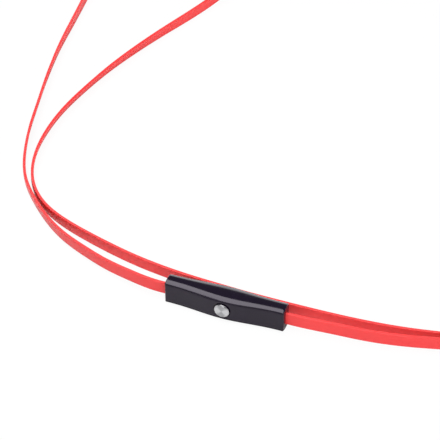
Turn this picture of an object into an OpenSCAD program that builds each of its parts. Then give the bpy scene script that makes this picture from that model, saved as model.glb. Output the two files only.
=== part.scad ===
// Wired in-ear earphones with a one-button remote on the right lead.
// Millimetres. The origin is under the middle of the remote, on the surface that everything lies on.
// +X runs along the remote towards the splitter, +Y points away from the button, +Z is up.

/* [Flat cable] */
// Width of the flat cable, which lies on its edge
ribbon_w = 4.5; // [4:0.1:5]
// Thickness of the flat cable
ribbon_t = 1.0; // [0.8:0.05:1.2]
// Chamfer along the cable's four long edges
ribbon_c = 0.2; // [0.1:0.05:0.3]
// Clearance round the cable in each moulded pocket
pocket_gap = 0.05; // [0.03:0.01:0.1]
// How deep the cable sits in each moulded pocket
pocket_l = 2.8; // [2:0.1:3.2]

/* [Remote housing] */
// Length of the remote
remote_l = 40.4; // [38:0.2:44]
// Height of the remote as it stands on its long narrow side
remote_h = 8.9; // [8.4:0.1:10]
// Distance from the plane y = 0 to the face, at the ends
end_front = 1.65; // [1.5:0.05:1.9]
// Distance from the plane y = 0 to the back, at the ends
end_back = 3.85; // [3.5:0.05:4.2]
// How far the face swells forward at the button
front_bump = 1.4; // [0.8:0.1:1.8]
// How far the back swells at the middle
back_bump = 1.1; // [0.6:0.05:1.5]
// Higher values gather the swelling at the button
bump_power = 2.5; // [2:0.1:3]
// Depth of the rounded crown above and below the face
crown_w = 2.4; // [2:0.1:2.6]
// Height of each crown
crown_h = 0.65; // [0.5:0.05:0.9]
// Height of the shell's plain lip beside the face plate
lip_h = 0.25; // [0.2:0.05:0.4]
// How much each crown dips towards the button
crown_dip = 0.2; // [0:0.05:0.3]
// Height of the rounding along the back edges
back_edge_h = 1.4; // [1:0.05:1.6]
// Depth of that rounding, as a share of the level part behind the crown
back_round = 0.8; // [0.5:0.05:0.9]
// Radius of the upright edges at both ends
end_r = 0.4; // [0.2:0.05:0.5]
// Thickness of the back shell's wall
shell_wall = 0.8; // [0.6:0.05:0.9]
// Thickness of the face plate
plate_t = 1.2; // [1:0.05:1.4]
// Gap round the face plate
plate_gap = 0.1; // [0.05:0.01:0.15]
// Height of the hollow behind the face plate
hollow_h = 5.9; // [5.6:0.1:6]
// Length of the solid end that grips each lead
end_block_l = 3.6; // [3.4:0.1:4]

/* [Button and switch] */
// Diameter of the button
button_d = 5.0; // [4.6:0.1:5.4]
// How far the button stands out of the face
button_proud = 0.65; // [0.5:0.05:0.8]
// Radial gap round the button in the face
button_gap = 0.3; // [0.15:0.05:0.35]
// Travel of the button
button_travel = 0.35; // [0.25:0.05:0.4]
// Thickness of the metal disc on the button
button_disc_t = 0.4; // [0.35:0.05:0.45]
// Chamfer of that disc's rim
button_chamfer = 0.3; // [0.15:0.05:0.3]
// Width of the flange that keeps the button in, beyond its side
flange_w = 0.7; // [0.6:0.05:0.8]
// Thickness of that flange
flange_t = 0.45; // [0.35:0.05:0.5]
// Side of the square switch
switch_w = 3.4; // [3:0.1:4]
// Height of the switch above its board
switch_h = 1.15; // [1:0.05:1.2]
// Diameter of the switch's plunger
plunger_d = 1.5; // [1.2:0.1:1.8]
// Radial clearance round the plunger
plunger_gap = 0.05; // [0.03:0.01:0.1]
// Length of the circuit board
board_l = 20; // [18:0.5:20]
// Height of the circuit board
board_h = 5.4; // [5:0.1:5.5]
// Thickness of the circuit board
board_t = 0.7; // [0.6:0.05:0.8]
// Distance from the plane y = 0 to the board's front
board_y = 0.6; // [0.5:0.05:0.65]
// Diameter of the microphone
mic_d = 3.8; // [3:0.1:4]
// Height of the microphone above its board
mic_h = 1.1; // [0.9:0.05:1.2]
// Distance from the button to the microphone along the remote
mic_x = 7; // [6:0.5:8]
// Diameter of the microphone's sound hole
mic_hole_d = 0.8; // [0.6:0.1:1]

/* [Earphone body] */
// Diameter of the earphone body
bud_d = 12.4; // [12:0.1:13.5]
// Wall of the earphone body
bud_wall = 0.9; // [0.7:0.05:1.1]
// Length of the front housing behind the driver's ledge
chamber_l = 4.5; // [4.2:0.1:5]
// Length of the cone and shoulder in front of the driver's ledge
shoulder_l = 5; // [4.5:0.1:6]
// Outer diameter of the sound tube
nozzle_d = 4.8; // [4.4:0.1:5]
// Inner diameter of the sound tube
nozzle_bore_d = 3.2; // [2.8:0.1:3.4]
// Length of the sound tube
nozzle_l = 6.5; // [6:0.1:7.5]
// How far the lip that holds the ear tip stands out of the tube
lip_out = 0.4; // [0.3:0.05:0.5]
// Length of the metal ring round the body
ring_l = 0.7; // [0.5:0.05:1]
// Length of the rear cap
cap_l = 3.7; // [3.2:0.1:4.5]
// Diameter of the metal disc on the rear cap
disc_d = 8.7; // [8:0.1:9]
// Thickness of that disc
disc_t = 0.25; // [0.2:0.05:0.3]

/* [Ear tip] */
// Widest diameter of the silicone ear tip
tip_d = 12; // [11:0.2:12.4]
// Thickness of the tip's dome
tip_wall = 0.5; // [0.4:0.05:0.7]
// Thickness of the tip's sleeve
sleeve_t = 0.75; // [0.6:0.05:0.9]
// Radial clearance between the sleeve and the tube's lip
tip_gap = 0.05; // [0.03:0.01:0.1]

/* [Driver] */
// Diameter of the driver
driver_d = 10.4; // [10:0.1:10.4]
// Diameter of the diaphragm
diaphragm_d = 9.1; // [8.8:0.1:9.1]
// Diameter of the magnet
magnet_d = 5.1; // [4.6:0.1:5.2]
// Thickness of the magnet
magnet_t = 1.4; // [1:0.1:1.5]
// Thickness of the voice coil
coil_t = 0.3; // [0.2:0.05:0.35]
// Gap on each side of the voice coil
coil_gap = 0.25; // [0.2:0.05:0.3]

/* [Strain reliefs] */
// Length of each earphone's strain relief
stem_l = 9.4; // [8:0.2:12]
// Height of a strain relief at its root
stem_h = 6; // [5.8:0.1:6.4]
// Thickness of a strain relief at its root
stem_t = 2.8; // [2.6:0.1:3.2]
// How much a strain relief narrows towards its end
stem_taper = 0.6; // [0.4:0.05:0.7]
// Width of the flexing grooves
groove_w = 0.5; // [0.4:0.05:0.7]

/* [Splitter] */
// Length of the splitter
splitter_l = 20; // [18:0.5:24]
// Height of the splitter
splitter_h = 6.5; // [6.2:0.1:7.5]
// Thickness of the splitter where the two leads enter
splitter_in_t = 4.8; // [4.6:0.1:5.4]
// Thickness of the splitter where the main cable leaves
splitter_out_t = 3.6; // [3.2:0.1:4]
// Radius of the splitter's edges
splitter_r = 1.0; // [0.6:0.1:1.2]
// Distance between the two leads at the splitter
lead_pitch = 2.0; // [1.8:0.1:2.2]

/* [Plug] */
// Diameter of the plug's pin
pin_d = 3.5; // [3.5:0.1:3.5]
// Diameter of the plug's grip
grip_d = 7.2; // [6.5:0.1:8]
// Length of the plug's grip
grip_l = 18; // [15:0.5:22]
// Length of the metal collar in front of the grip
collar_l = 1.2; // [0.8:0.1:2]
// Length of the strain relief behind the grip
boot_l = 8; // [7:0.5:12]
// Length of the earth sleeve
sleeve_l = 5.2; // [4.8:0.1:5.6]
// Length of each contact ring
contact_l = 2.0; // [1.8:0.1:2.1]
// Length of each insulating ring
insulator_l = 0.5; // [0.4:0.05:0.6]
// Length of the pin's tip
pin_tip_l = 3.3; // [3:0.1:3.6]

/* [Put-away coil] */
// Outer radius of the coil, to the middle of the cable
coil_r = 26.2; // [25:0.1:27.5]
// Step from one turn to the next
coil_pitch = 1.8; // [1.7:0.05:2]
// Turns in the two layers together
coil_turns = 5; // [4:1:6]
// Gap between the two layers
layer_gap = 0.6; // [0.5:0.05:0.8]
// Thickness of the ties round the coil
tie_t = 0.8; // [0.6:0.05:1]
// Width of the ties
tie_w = 4; // [3:0.5:6]

/* [Hidden] */
$fn = 64;
cut = 0.5;                       // how far cutting tools run past what they cut
seat_gap = 0.3;                  // room left at a loose seat

// Routes of the leads: [x, y, lift above the surface, lean of the upper edge to the left in degrees].
lead_y = 0.8;                    // the right lead's middle plane inside the remote
lead_lift = (remote_h - ribbon_w) / 2;
splitter_at = [94, 16.4];        // middle of the end where the leads enter
splitter_turn = 17;              // heading from there to the main cable
splitter_lift = (splitter_h - ribbon_w) / 2;
ring_out = 0.1;                  // how far the metal ring stands out of the earphone body
bud_z = bud_d / 2 + ring_out;    // height of an earphone's axis
bud_lift = bud_z - ribbon_w / 2;
// A point beside the splitter's entry: along its axis and across it
function at_splitter(along, across) = [
    splitter_at[0] + along * cos(splitter_turn) - across * sin(splitter_turn),
    splitter_at[1] + along * sin(splitter_turn) + across * cos(splitter_turn)
];
// An end of a route in the splitter: straight for one cable width, then down its pocket
function splitter_end(across) = [
    for (along = [-ribbon_w, pocket_l])
        concat(at_splitter(along, across), [splitter_lift, 0])
];
remote_left = [
    [-(remote_l / 2 - pocket_l), lead_y, lead_lift, 0],
    [-(remote_l / 2 + ribbon_w), lead_y, lead_lift, 0]
];
remote_right = [for (p = remote_left) [-p[0], p[1], p[2], p[3]]];
right_upper_route = concat(remote_left, [
    [-34, 2.6, 1.9, 0.5], [-44, 5.8, 1.1, 2], [-54.2, 10, 0.7, 3.5], [-63.8, 14.9, 0.2, 6],
    [-73.1, 21.4, 0, 8.5], [-81.7, 29.3, 0, 8.5], [-89.3, 38.1, 0, 4.5], [-94.7, 47.3, 0, -4.5],
    [-99, 57.5, 0, -12.5], [-102.4, 67.5, 0, -16], [-105.3, 78, 0, -17], [-108.1, 88.5, 0, -17],
    [-110.8, 99, 0, -16], [-113.2, 109.4, 0, -15], [-115.4, 119.9, 0, -13.5], [-117.2, 130.5, 0, -11],
    [-118.8, 141, 0, -8], [-120.4, 151.5, 0.1, -6], [-121.8, 162, 0.7, -4], [-122.9, 172.5, 1.9, -2],
    [-123.6, 183, 3.2, 0], [-124, 191, bud_lift, 0], [-124.2, 195.5, bud_lift, 0]
]);
right_lower_route = concat(remote_right, [
    [35, 1.5, 2.1, 0], [45, 2.3, 1.9, 0], [55.5, 4.1, 1.6, 0], [66, 6.9, 1.3, 0], [78, 10.5, 1.1, 0]
], splitter_end(-lead_pitch / 2));
left_route = concat([for (k = [1, 0]) splitter_end(lead_pitch / 2)[k]], [
    [79.5, 13.6, 0.5, -1.5], [69, 11.6, 0.2, -1.5], [58, 9.8, 0, -1], [47.5, 8.6, 0, -0.5], [37, 8, 0, 0],
    [26.5, 7.8, 0, 0.5], [16, 7.8, 0, 1], [5.5, 8, 0, 2], [-5, 8.5, 0, 3], [-15.5, 9.2, 0, 3.5],
    [-26, 10.4, 0, 3.5], [-36.5, 12.3, 0, 3], [-47, 15, 0, 3], [-57, 18.1, 0, 4.5], [-66.4, 21.6, 0, 6],
    [-75.4, 26.4, 0, 6.5], [-82.8, 33, 0, 5], [-88.5, 41.3, 0, -2], [-92.5, 50.8, 0, -13.5],
    [-94.8, 60.7, 0, -20], [-95.8, 71, 0, -22.5], [-95.8, 81.5, 0, -25], [-94.8, 92, 0, -26.5],
    [-93.2, 102.5, 0, -26.5], [-91.2, 113, 0, -24.5], [-88.6, 123.5, 0, -21.5], [-85.7, 133.5, 0, -18],
    [-82.5, 143.5, 0, -14.5], [-79, 153.5, 0, -10], [-75.5, 163.5, 0, -6], [-71.8, 173.5, 0.6, -3],
    [-68, 183.5, 2.2, -1], [-64.9, 192, bud_lift, 0], [-63.4, 196.2, bud_lift, 0]
]);

// The put-away coil: two layers, wound inwards below and outwards above
coil_at = [110, 56];
layer_step = ribbon_w + layer_gap;
coil_lift = tie_t + seat_gap;
coil_straight = 5;               // straight cable before the wound length
climb_from = coil_turns / 2 - 0.25;
// Turns counted from either end of the coil to its innermost place
function coil_depth(turn) = min(turn, coil_turns - turn);
function coil_radius(turn) = coil_r - coil_pitch * coil_depth(turn);
function coil_climb(turn) = layer_step * (1 - cos(180 * max(0, min(1, (turn - climb_from) / 0.5)))) / 2;
coil_core = [
    for (k = [0:24 * coil_turns])
        let (turn = k / 24, r = coil_radius(turn))
            [coil_at[0] + r * cos(360 * turn), coil_at[1] + r * sin(360 * turn),
             coil_lift + coil_climb(turn), 0]
];
coil_in = [coil_at[0] + coil_r, coil_at[1] - ribbon_w, coil_lift, 0];
coil_out = [coil_at[0] + coil_r, coil_at[1] + ribbon_w, coil_lift + layer_step, 0];
main_route = [
    concat(at_splitter(splitter_l - pocket_l, 0), [splitter_lift, 0]),
    concat(at_splitter(splitter_l + ribbon_w, 0), [splitter_lift, 0]),
    [126.5, 28.5, 1, 0], [133.5, 37.5, 1.1, 0], [coil_in[0], coil_in[1] - coil_straight, coil_lift, 0],
    coil_in
];
plug_at = [140, 98];             // where the plug's boot begins
plug_turn = 84;                  // heading of the plug's pin
plug_lift = grip_d / 2 - ribbon_w / 2;
function at_plug(along) = [plug_at[0] + along * cos(plug_turn), plug_at[1] + along * sin(plug_turn)];
plug_route = [
    coil_out, [136.8, 70, 5.2, 0], [137.8, 81, 3.2, 0],
    concat(at_plug(-ribbon_w), [plug_lift, 0]), concat(at_plug(pocket_l), [plug_lift, 0])
];

// Outline of the remote
remote_half = remote_l / 2;
least_lip = 0.05;                // what the end's rounding leaves of the lip
function bump(x) = pow(max(0, cos(min(90, 180 * abs(x) / remote_l))), bump_power);
// How far the end's rounding draws the surface in at x
function end_inset(x) =
    let (over = min(end_r, abs(x) - (remote_half - end_r)))
        over > 0 ? end_r - sqrt(end_r * end_r - over * over) : 0;
function front_y(x) = end_inset(x) - (end_front + front_bump * bump(x));
function back_y(x) = end_back + back_bump * bump(x) - end_inset(x);
function top_z(x) = remote_h - end_inset(x) * (lip_h - least_lip) / end_r;
function face_low(x) = crown_h + lip_h + crown_dip * bump(x);
remote_steps = 26;
function stations(from, to) = [for (k = [0:remote_steps]) from + (to - from) * k / remote_steps];
// Stations from end to end, closer together where the ends are rounded
end_x = [for (a = [30:30:90]) remote_half - end_r * (1 - sin(a))];
remote_x = concat(
    [for (k = [len(end_x) - 1:-1:0]) -end_x[k]],
    stations(-(remote_half - end_r), remote_half - end_r),
    end_x
);
// Upper half of the housing's section at x, from the face to the back
function upper_section(x) =
    let (
        lip_z = crown_h + crown_dip * bump(x),
        crest = front_y(x) + crown_w,
        round_d = back_round * (back_y(x) - crest)
    ) concat(
        [for (s = [0:0.25:1]) [front_y(x) + crown_w * s, top_z(x) - lip_z * (1 - s) * (1 - s)]],
        [for (a = [0:18:90]) [back_y(x) - round_d * (1 - sin(a)), top_z(x) - back_edge_h * (1 - cos(a))]]
    );
function lower_section(x) =
    let (upper = upper_section(x))
        [for (k = [len(upper) - 1:-1:0]) [upper[k][0], remote_h - upper[k][1]]];
function housing_ring(x) = [for (p = concat(upper_section(x), lower_section(x))) [x, p[0], p[1]]];
// A rectangular ring at x between two depths and two heights
function box_ring(x, y0, y1, z0, z1) = [[x, y0, z1], [x, y1, z1], [x, y1, z0], [x, y0, z0]];

// Button stack, measured outwards from the crest of the face
button_r = button_d / 2;
disc_seat = button_proud - button_disc_t;
flange_r = button_r + flange_w;
flange_gap = 0.08;               // room round the flange and below it
flange_top = -(plate_t + front_y(flange_r) - front_y(0) + pocket_gap);
board_top = front_y(0) - board_y;
switch_top = board_top + switch_h;
plunger_out = button_travel + 0.07;
stem_bottom = switch_top + plunger_out + 0.02;
plunger_l = 0.9;
flange_low = flange_top - flange_t - button_travel - flange_gap;
pad_w = 1.5;                     // width of the pads behind the board

// Earphone stations along its axis, with the driver's ledge at 0 and the nozzle towards minus
bud_r = bud_d / 2;
chamber_r = bud_r - bud_wall;
shoulder_a = -shoulder_l;
nozzle_a = shoulder_a - nozzle_l;
ring_a = chamber_l;
cap_a = ring_a + ring_l;
rear_a = cap_a + cap_l;
lip_r = nozzle_d / 2 + lip_out;
sleeve_r = lip_r + tip_gap;
magnet_r = magnet_d / 2;
yoke_r = magnet_r + 2 * coil_gap + coil_t;
driver_l = 3.9;                  // from the ledge to the back of the magnet's cup
cup_t = 0.5;                     // wall of the magnet's cup
basket_a = 1.5;                  // front face of the basket's plate
mesh_t = 0.25;
boss_l = 1.4;                    // how far the boss for the strain relief stands out of the body
stem_a = chamber_l / 2 - 0.4;    // the strain relief's place along the body
shoulder_rise = 3.5;             // from the shoulder to the body's full diameter
tip_reach = 2.2;                 // how far the ear tip stands out past the tube
tip_dome = 4.8;                  // from there to the tip's widest place

// ---- Tools -------------------------------------------------------------------------------

function unit(v) = v / norm(v);
// Skin over rings of equal size, each running the same way round
module skin(rings) {
    n = len(rings[0]);
    last = (len(rings) - 1) * n;
    sides = [
        for (i = [0:len(rings) - 2], j = [0:n - 1], half = [0, 1])
            let (a = i * n + j, b = i * n + (j + 1) % n)
                half == 0 ? [a, b, b + n] : [a, b + n, a + n]
    ];
    caps = concat(
        [for (j = [1:n - 2]) [0, j + 1, j]],
        [for (j = [1:n - 2]) [last, last + j, last + j + 1]]
    );
    polyhedron([for (r = rings, p = r) p], concat(sides, caps));
}

// Eight corners of the flat cable: across it and up its edge
function flat_section() =
    let (t = ribbon_t / 2, w = ribbon_w / 2, c = ribbon_c) [
        [t, c - w], [t, w - c], [t - c, w], [c - t, w], [-t, w - c], [-t, c - w], [c - t, -w], [t - c, -w]
    ];
// Six corners, for the wound cable
function wound_section() =
    let (t = ribbon_t / 2, w = ribbon_w / 2, c = ribbon_c)
        [[t, c - w], [t, w - c], [0, w], [-t, w - c], [-t, c - w], [0, -w]];
// Middle of the cable at a route's point: its lower edge stays at the stated lift
function middle(p) = [p[0], p[1], p[2] + ribbon_w / 2 * cos(p[3]) + ribbon_t / 2 * abs(sin(p[3]))];
function cable_rings(route, section) = [
    for (i = [0:len(route) - 1])
        let (
            here = middle(route[i]),
            ahead = middle(route[min(i + 1, len(route) - 1)]) - middle(route[max(i - 1, 0)]),
            along = unit(i == 0 || i == len(route) - 1 ? [ahead[0], ahead[1], 0] : ahead),
            left = unit([-along[1], along[0], 0]),
            up = cross(along, left),
            lean = route[i][3]
        )
            [for (q = section) here + (left * cos(lean) - up * sin(lean)) * q[0]
                + (up * cos(lean) + left * sin(lean)) * q[1]]
];
module flat_cable(route, section) {
    rings = cable_rings(route, section);
    skin([for (r = rings) [for (k = [len(r) - 1:-1:0]) r[k]]]);
}

// Length of a route through the middle of the cable
function route_length(route) =
    let (steps = [for (i = [1:len(route) - 1]) norm(middle(route[i]) - middle(route[i - 1]))])
        steps * [for (s = steps) 1];
coil_rings = cable_rings(coil_core, wound_section());
coil_self_gap = min([
    for (i = [0:len(coil_rings) - 25], turns = [1:coil_turns - 1])
        if (i + 24 * turns < len(coil_rings))
            for (p = coil_rings[i], q = coil_rings[i + 24 * turns]) norm(p - q)
]);
echo(coil_self_gap = coil_self_gap);
echo(
    left_lead = route_length(left_route),
    right_upper = route_length(right_upper_route),
    right_lower = route_length(right_lower_route),
    main = route_length(main_route) + route_length(coil_core) + route_length(plug_route)
);

// A pocket for the cable, cut from x = 0 towards +X
module cable_pocket(deep = pocket_l) {
    t = ribbon_t + 2 * pocket_gap;
    w = ribbon_w + 2 * pocket_gap;
    translate([-cut, -t / 2, -w / 2]) cube([deep + cut, t, w]);
}

// A tapered strain relief along +X, with its pocket for the cable at x = 0
module strain_relief(l, h, t) {
    difference() {
        intersection() {
            translate([0, t / 2, 0]) rotate([90, 0, 0]) linear_extrude(t)
                polygon([
                    [0, stem_taper / 2 - h / 2], [l, -h / 2], [l, h / 2], [0, h / 2 - stem_taper / 2]
                ]);
            translate([0, 0, -h / 2]) linear_extrude(h)
                polygon([
                    [0, stem_taper / 2 - t / 2], [l, -t / 2], [l, t / 2], [0, t / 2 - stem_taper / 2]
                ]);
        }
        cable_pocket();
        for (k = [0:2], side = [-1, 1])
            translate([pocket_l + 0.6 + 1.2 * k, side * t / 2 - t / 8, -h])
                cube([groove_w, t / 4, 2 * h]);
    }
}

// ---- Remote ------------------------------------------------------------------------------

// Stands things on the crest of the face, pointing out of it
module on_face(x = 0) {
    translate([x, front_y(0), remote_h / 2]) rotate([90, 0, 0]) children();
}

module remote_face_plate() {
    color([0.1, 0.1, 0.11]) difference() {
        skin([
            for (x = remote_x)
                box_ring(x, front_y(x), front_y(x) + plate_t,
                    face_low(x) + plate_gap, remote_h - face_low(x) - plate_gap)
        ]);
        on_face() translate([0, 0, -plate_t - cut - front_bump])
            cylinder(h = plate_t + 2 * cut + front_bump, r = button_r + button_gap);
    }
}

module remote_back_shell() {
    hollow = remote_half - end_block_l;
    hollow_low = (remote_h - hollow_h) / 2;
    color([0.08, 0.08, 0.09]) difference() {
        skin([for (x = remote_x) housing_ring(x)]);
        skin([
            for (x = concat([-remote_half - cut], remote_x, [remote_half + cut]))
                box_ring(x, front_y(x) - cut, front_y(x) + plate_t, face_low(x), remote_h - face_low(x))
        ]);
        difference() {
            skin([
                for (x = stations(-hollow, hollow))
                    box_ring(x, front_y(x) + plate_t - cut, back_y(x) - shell_wall,
                        hollow_low, remote_h - hollow_low)
            ]);
            // Two pads carry the board
            for (side = [-1, 1])
                translate([side * mic_x - pad_w / 2, board_y + board_t, 0])
                    cube([pad_w, back_y(0) - board_y, remote_h]);
        }
        on_face() translate([0, 0, flange_low]) cylinder(h = -flange_low, r = flange_r + flange_gap);
        for (side = [0, 1]) mirror([side, 0, 0]) translate([-remote_half, lead_y, remote_h / 2]) {
            cable_pocket();
            rotate([0, 90, 0]) cylinder(h = end_block_l + cut, d = 0.9);
        }
        translate([mic_x, board_y, remote_h / 2]) rotate([-90, 0, 0])
            cylinder(h = end_back + back_bump + cut, d = mic_hole_d);
    }
}

module remote_button() {
    color([0.1, 0.1, 0.11]) on_face() rotate_extrude() polygon([
        [0, disc_seat], [button_r, disc_seat], [button_r, flange_top], [flange_r, flange_top],
        [flange_r, flange_top - flange_t], [1, flange_top - flange_t], [1, stem_bottom], [0, stem_bottom]
    ]);
}

module button_disc() {
    color([0.8, 0.8, 0.82]) on_face() rotate_extrude() polygon([
        [0, disc_seat], [button_r, disc_seat], [button_r, button_proud - button_chamfer],
        [button_r - button_chamfer, button_proud], [0, button_proud]
    ]);
}

module switch_body() {
    color([0.75, 0.75, 0.73]) on_face() difference() {
        translate([-switch_w / 2, -switch_w / 2, board_top]) cube([switch_w, switch_w, switch_h]);
        translate([0, 0, switch_top + plunger_out - plunger_l - button_travel - 0.05])
            cylinder(h = plunger_l + cut, r = plunger_d / 2 + plunger_gap);
    }
}

module switch_plunger() {
    color([0.15, 0.15, 0.15]) on_face() translate([0, 0, switch_top + plunger_out - plunger_l])
        cylinder(h = plunger_l, d = plunger_d);
}

module circuit_board() {
    color([0.1, 0.35, 0.2]) difference() {
        translate([-board_l / 2, board_y, (remote_h - board_h) / 2]) cube([board_l, board_t, board_h]);
        translate([mic_x, board_y - cut, remote_h / 2]) rotate([-90, 0, 0])
            cylinder(h = board_t + 2 * cut, d = mic_hole_d);
    }
}

module microphone() {
    color([0.7, 0.7, 0.7]) translate([mic_x, board_y, remote_h / 2]) rotate([90, 0, 0])
        cylinder(h = mic_h, d = mic_d);
}

// ---- Earphones ---------------------------------------------------------------------------

// Stands an earphone at the end of a lead: its axis level, its strain relief on the cable.
// flip is 1 where the nozzle points to the left of the lead, and -1 to its right.
module at_bud(route, flip) {
    end = route[len(route) - 1];
    before = route[len(route) - 2];
    turn = atan2(end[1] - before[1], end[0] - before[0]);
    translate([end[0], end[1], bud_z]) rotate([0, 0, turn - 90])
        translate([0, stem_l - pocket_l + boss_l + bud_r, 0])
            mirror([flip < 0 ? 1 : 0, 0, 0]) translate([-stem_a, 0, 0]) rotate([0, 90, 0]) children();
}
module left_bud() {
    at_bud(left_route, 1) children();
}
module right_bud() {
    at_bud(right_upper_route, -1) children();
}

// The strain relief's place on an earphone, with +X from the cable to the body
module at_stem() {
    rotate([0, -90, 0]) translate([stem_a, -(bud_r + boss_l + stem_l), 0]) rotate([0, 0, 90]) children();
}

module ear_tip() {
    r = tip_d / 2;
    front = nozzle_a - tip_reach;
    hole = nozzle_bore_d / 2 + 0.5;
    sleeve_out = sleeve_r + sleeve_t;
    rear = shoulder_a - seat_gap - 1;
    color([0.13, 0.13, 0.14]) rotate_extrude() polygon(concat(
        [for (a = [0:15:90]) [hole + (r - hole) * sin(a), front + tip_dome * (1 - cos(a))]],
        [[r - 0.1, rear - 0.8], [r - 0.1 - tip_wall, rear - 0.8]],
        [for (a = [90:-15:15]) [
            sleeve_out + (r - tip_wall - sleeve_out) * sin(a),
            front + tip_dome - (tip_dome - 1.5) * cos(a)
        ]],
        [
            [sleeve_out, front + 1.5], [sleeve_out, rear], [sleeve_r, rear],
            [sleeve_r, nozzle_a - seat_gap], [hole, nozzle_a - seat_gap]
        ]
    ));
}

module nozzle_mesh() {
    color([0.6, 0.6, 0.6]) translate([0, 0, nozzle_a]) difference() {
        cylinder(h = mesh_t, d = nozzle_bore_d + 0.5);
        for (k = [0:5]) rotate([0, 0, 60 * k]) translate([1, 0, -cut]) cylinder(h = 2 * cut, d = 0.5);
        translate([0, 0, -cut]) cylinder(h = 2 * cut, d = 0.5);
    }
}

module front_housing() {
    bore = nozzle_bore_d / 2;
    tube = nozzle_d / 2;
    color([0.08, 0.08, 0.09]) difference() {
        union() {
            rotate_extrude() polygon([
                [0, nozzle_a], [tube, nozzle_a], [tube, nozzle_a + 0.5], [lip_r, nozzle_a + 1],
                [lip_r, nozzle_a + 1.8], [tube, nozzle_a + 2], [tube, shoulder_a - 0.6],
                [tube + 0.9, shoulder_a], [bud_r - 1.3, shoulder_a + 0.8], [bud_r - 0.3, shoulder_a + 2.1],
                [bud_r, shoulder_a + shoulder_rise], [bud_r, chamber_l], [0, chamber_l]
            ]);
            at_stem() translate([stem_l, -stem_t / 2 - 0.2, -stem_h / 2 - 0.2])
                cube([boss_l + bud_wall + 1, stem_t + 0.4, stem_h + 0.4]);
        }
        rotate_extrude() polygon([
            [0, nozzle_a - cut], [bore + 0.25, nozzle_a - cut], [bore + 0.25, nozzle_a + mesh_t],
            [bore, nozzle_a + mesh_t], [bore, shoulder_a + 1.2], [chamber_r - 0.6, 0], [chamber_r, 0],
            [chamber_r, chamber_l + cut], [0, chamber_l + cut]
        ]);
    }
}

module accent_ring() {
    color([0.75, 0.75, 0.77]) translate([0, 0, ring_a]) difference() {
        cylinder(h = ring_l, r = bud_r + ring_out);
        translate([0, 0, -cut]) cylinder(h = ring_l + 2 * cut, r = chamber_r);
    }
}

module rear_cap() {
    spigot = chamber_r - pocket_gap;
    inner = spigot - 0.65;
    seat = disc_d / 2 + pocket_gap;
    color([0.08, 0.08, 0.09]) rotate_extrude() polygon([
        [spigot, ring_a - 1], [spigot, cap_a], [bud_r, cap_a], [bud_r, rear_a - 1],
        [bud_r - 0.3, rear_a - 0.4], [bud_r - 1, rear_a], [seat, rear_a], [seat, rear_a - 0.2],
        [0, rear_a - 0.2],
        [0, rear_a - 1.1], [inner, rear_a - 1.1], [inner, ring_a - 1]
    ]);
}

module rear_disc() {
    color([0.8, 0.8, 0.82]) translate([0, 0, rear_a - 0.2]) cylinder(h = disc_t, d = disc_d);
}

module driver_frame() {
    r = driver_d / 2;
    color([0.6, 0.6, 0.62]) rotate_extrude() polygon([
        [r - 0.5, 0], [r, 0], [r, basket_a + 0.6], [yoke_r + cup_t, basket_a + 0.6],
        [yoke_r + cup_t, driver_l], [0, driver_l], [0, driver_l - cup_t], [yoke_r, driver_l - cup_t],
        [yoke_r, basket_a], [r - 0.5, basket_a]
    ]);
}

module driver_magnet() {
    color([0.45, 0.45, 0.47]) translate([0, 0, driver_l - cup_t - magnet_t])
        cylinder(h = magnet_t, r = magnet_r);
}

module diaphragm() {
    coil_inner = magnet_r + coil_gap;
    color([0.75, 0.7, 0.6]) rotate_extrude() polygon([
        [0, 0.5], [diaphragm_d / 2, 0.5], [diaphragm_d / 2, 0.65], [coil_inner + coil_t, 0.65],
        [coil_inner + coil_t, basket_a + 1.1], [coil_inner, basket_a + 1.1], [coil_inner, 0.65], [0, 0.65]
    ]);
}

module bud_relief() {
    color([0.12, 0.12, 0.12]) at_stem() strain_relief(stem_l, stem_h, stem_t);
}

module left_ear_tip() left_bud() ear_tip();
module left_nozzle_mesh() left_bud() nozzle_mesh();
module left_front_housing() left_bud() front_housing();
module left_accent_ring() left_bud() accent_ring();
module left_rear_cap() left_bud() rear_cap();
module left_rear_disc() left_bud() rear_disc();
module left_driver_frame() left_bud() driver_frame();
module left_driver_magnet() left_bud() driver_magnet();
module left_diaphragm() left_bud() diaphragm();
module left_strain_relief() left_bud() bud_relief();
module right_ear_tip() right_bud() ear_tip();
module right_nozzle_mesh() right_bud() nozzle_mesh();
module right_front_housing() right_bud() front_housing();
module right_accent_ring() right_bud() accent_ring();
module right_rear_cap() right_bud() rear_cap();
module right_rear_disc() right_bud() rear_disc();
module right_driver_frame() right_bud() driver_frame();
module right_driver_magnet() right_bud() driver_magnet();
module right_diaphragm() right_bud() diaphragm();
module right_strain_relief() right_bud() bud_relief();

// ---- Cables ------------------------------------------------------------------------------

cable_red = [0.9, 0.2, 0.2];
module left_lead() color(cable_red) flat_cable(left_route, flat_section());
module right_lead_upper() color(cable_red) flat_cable(right_upper_route, flat_section());
module right_lead_lower() color(cable_red) flat_cable(right_lower_route, flat_section());
module main_cable() color(cable_red) flat_cable(main_route, flat_section());
module main_cable_coil() color(cable_red)
    flat_cable(concat([coil_in], coil_core, [coil_out]), wound_section());
module plug_lead() color(cable_red) flat_cable(plug_route, flat_section());

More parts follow.
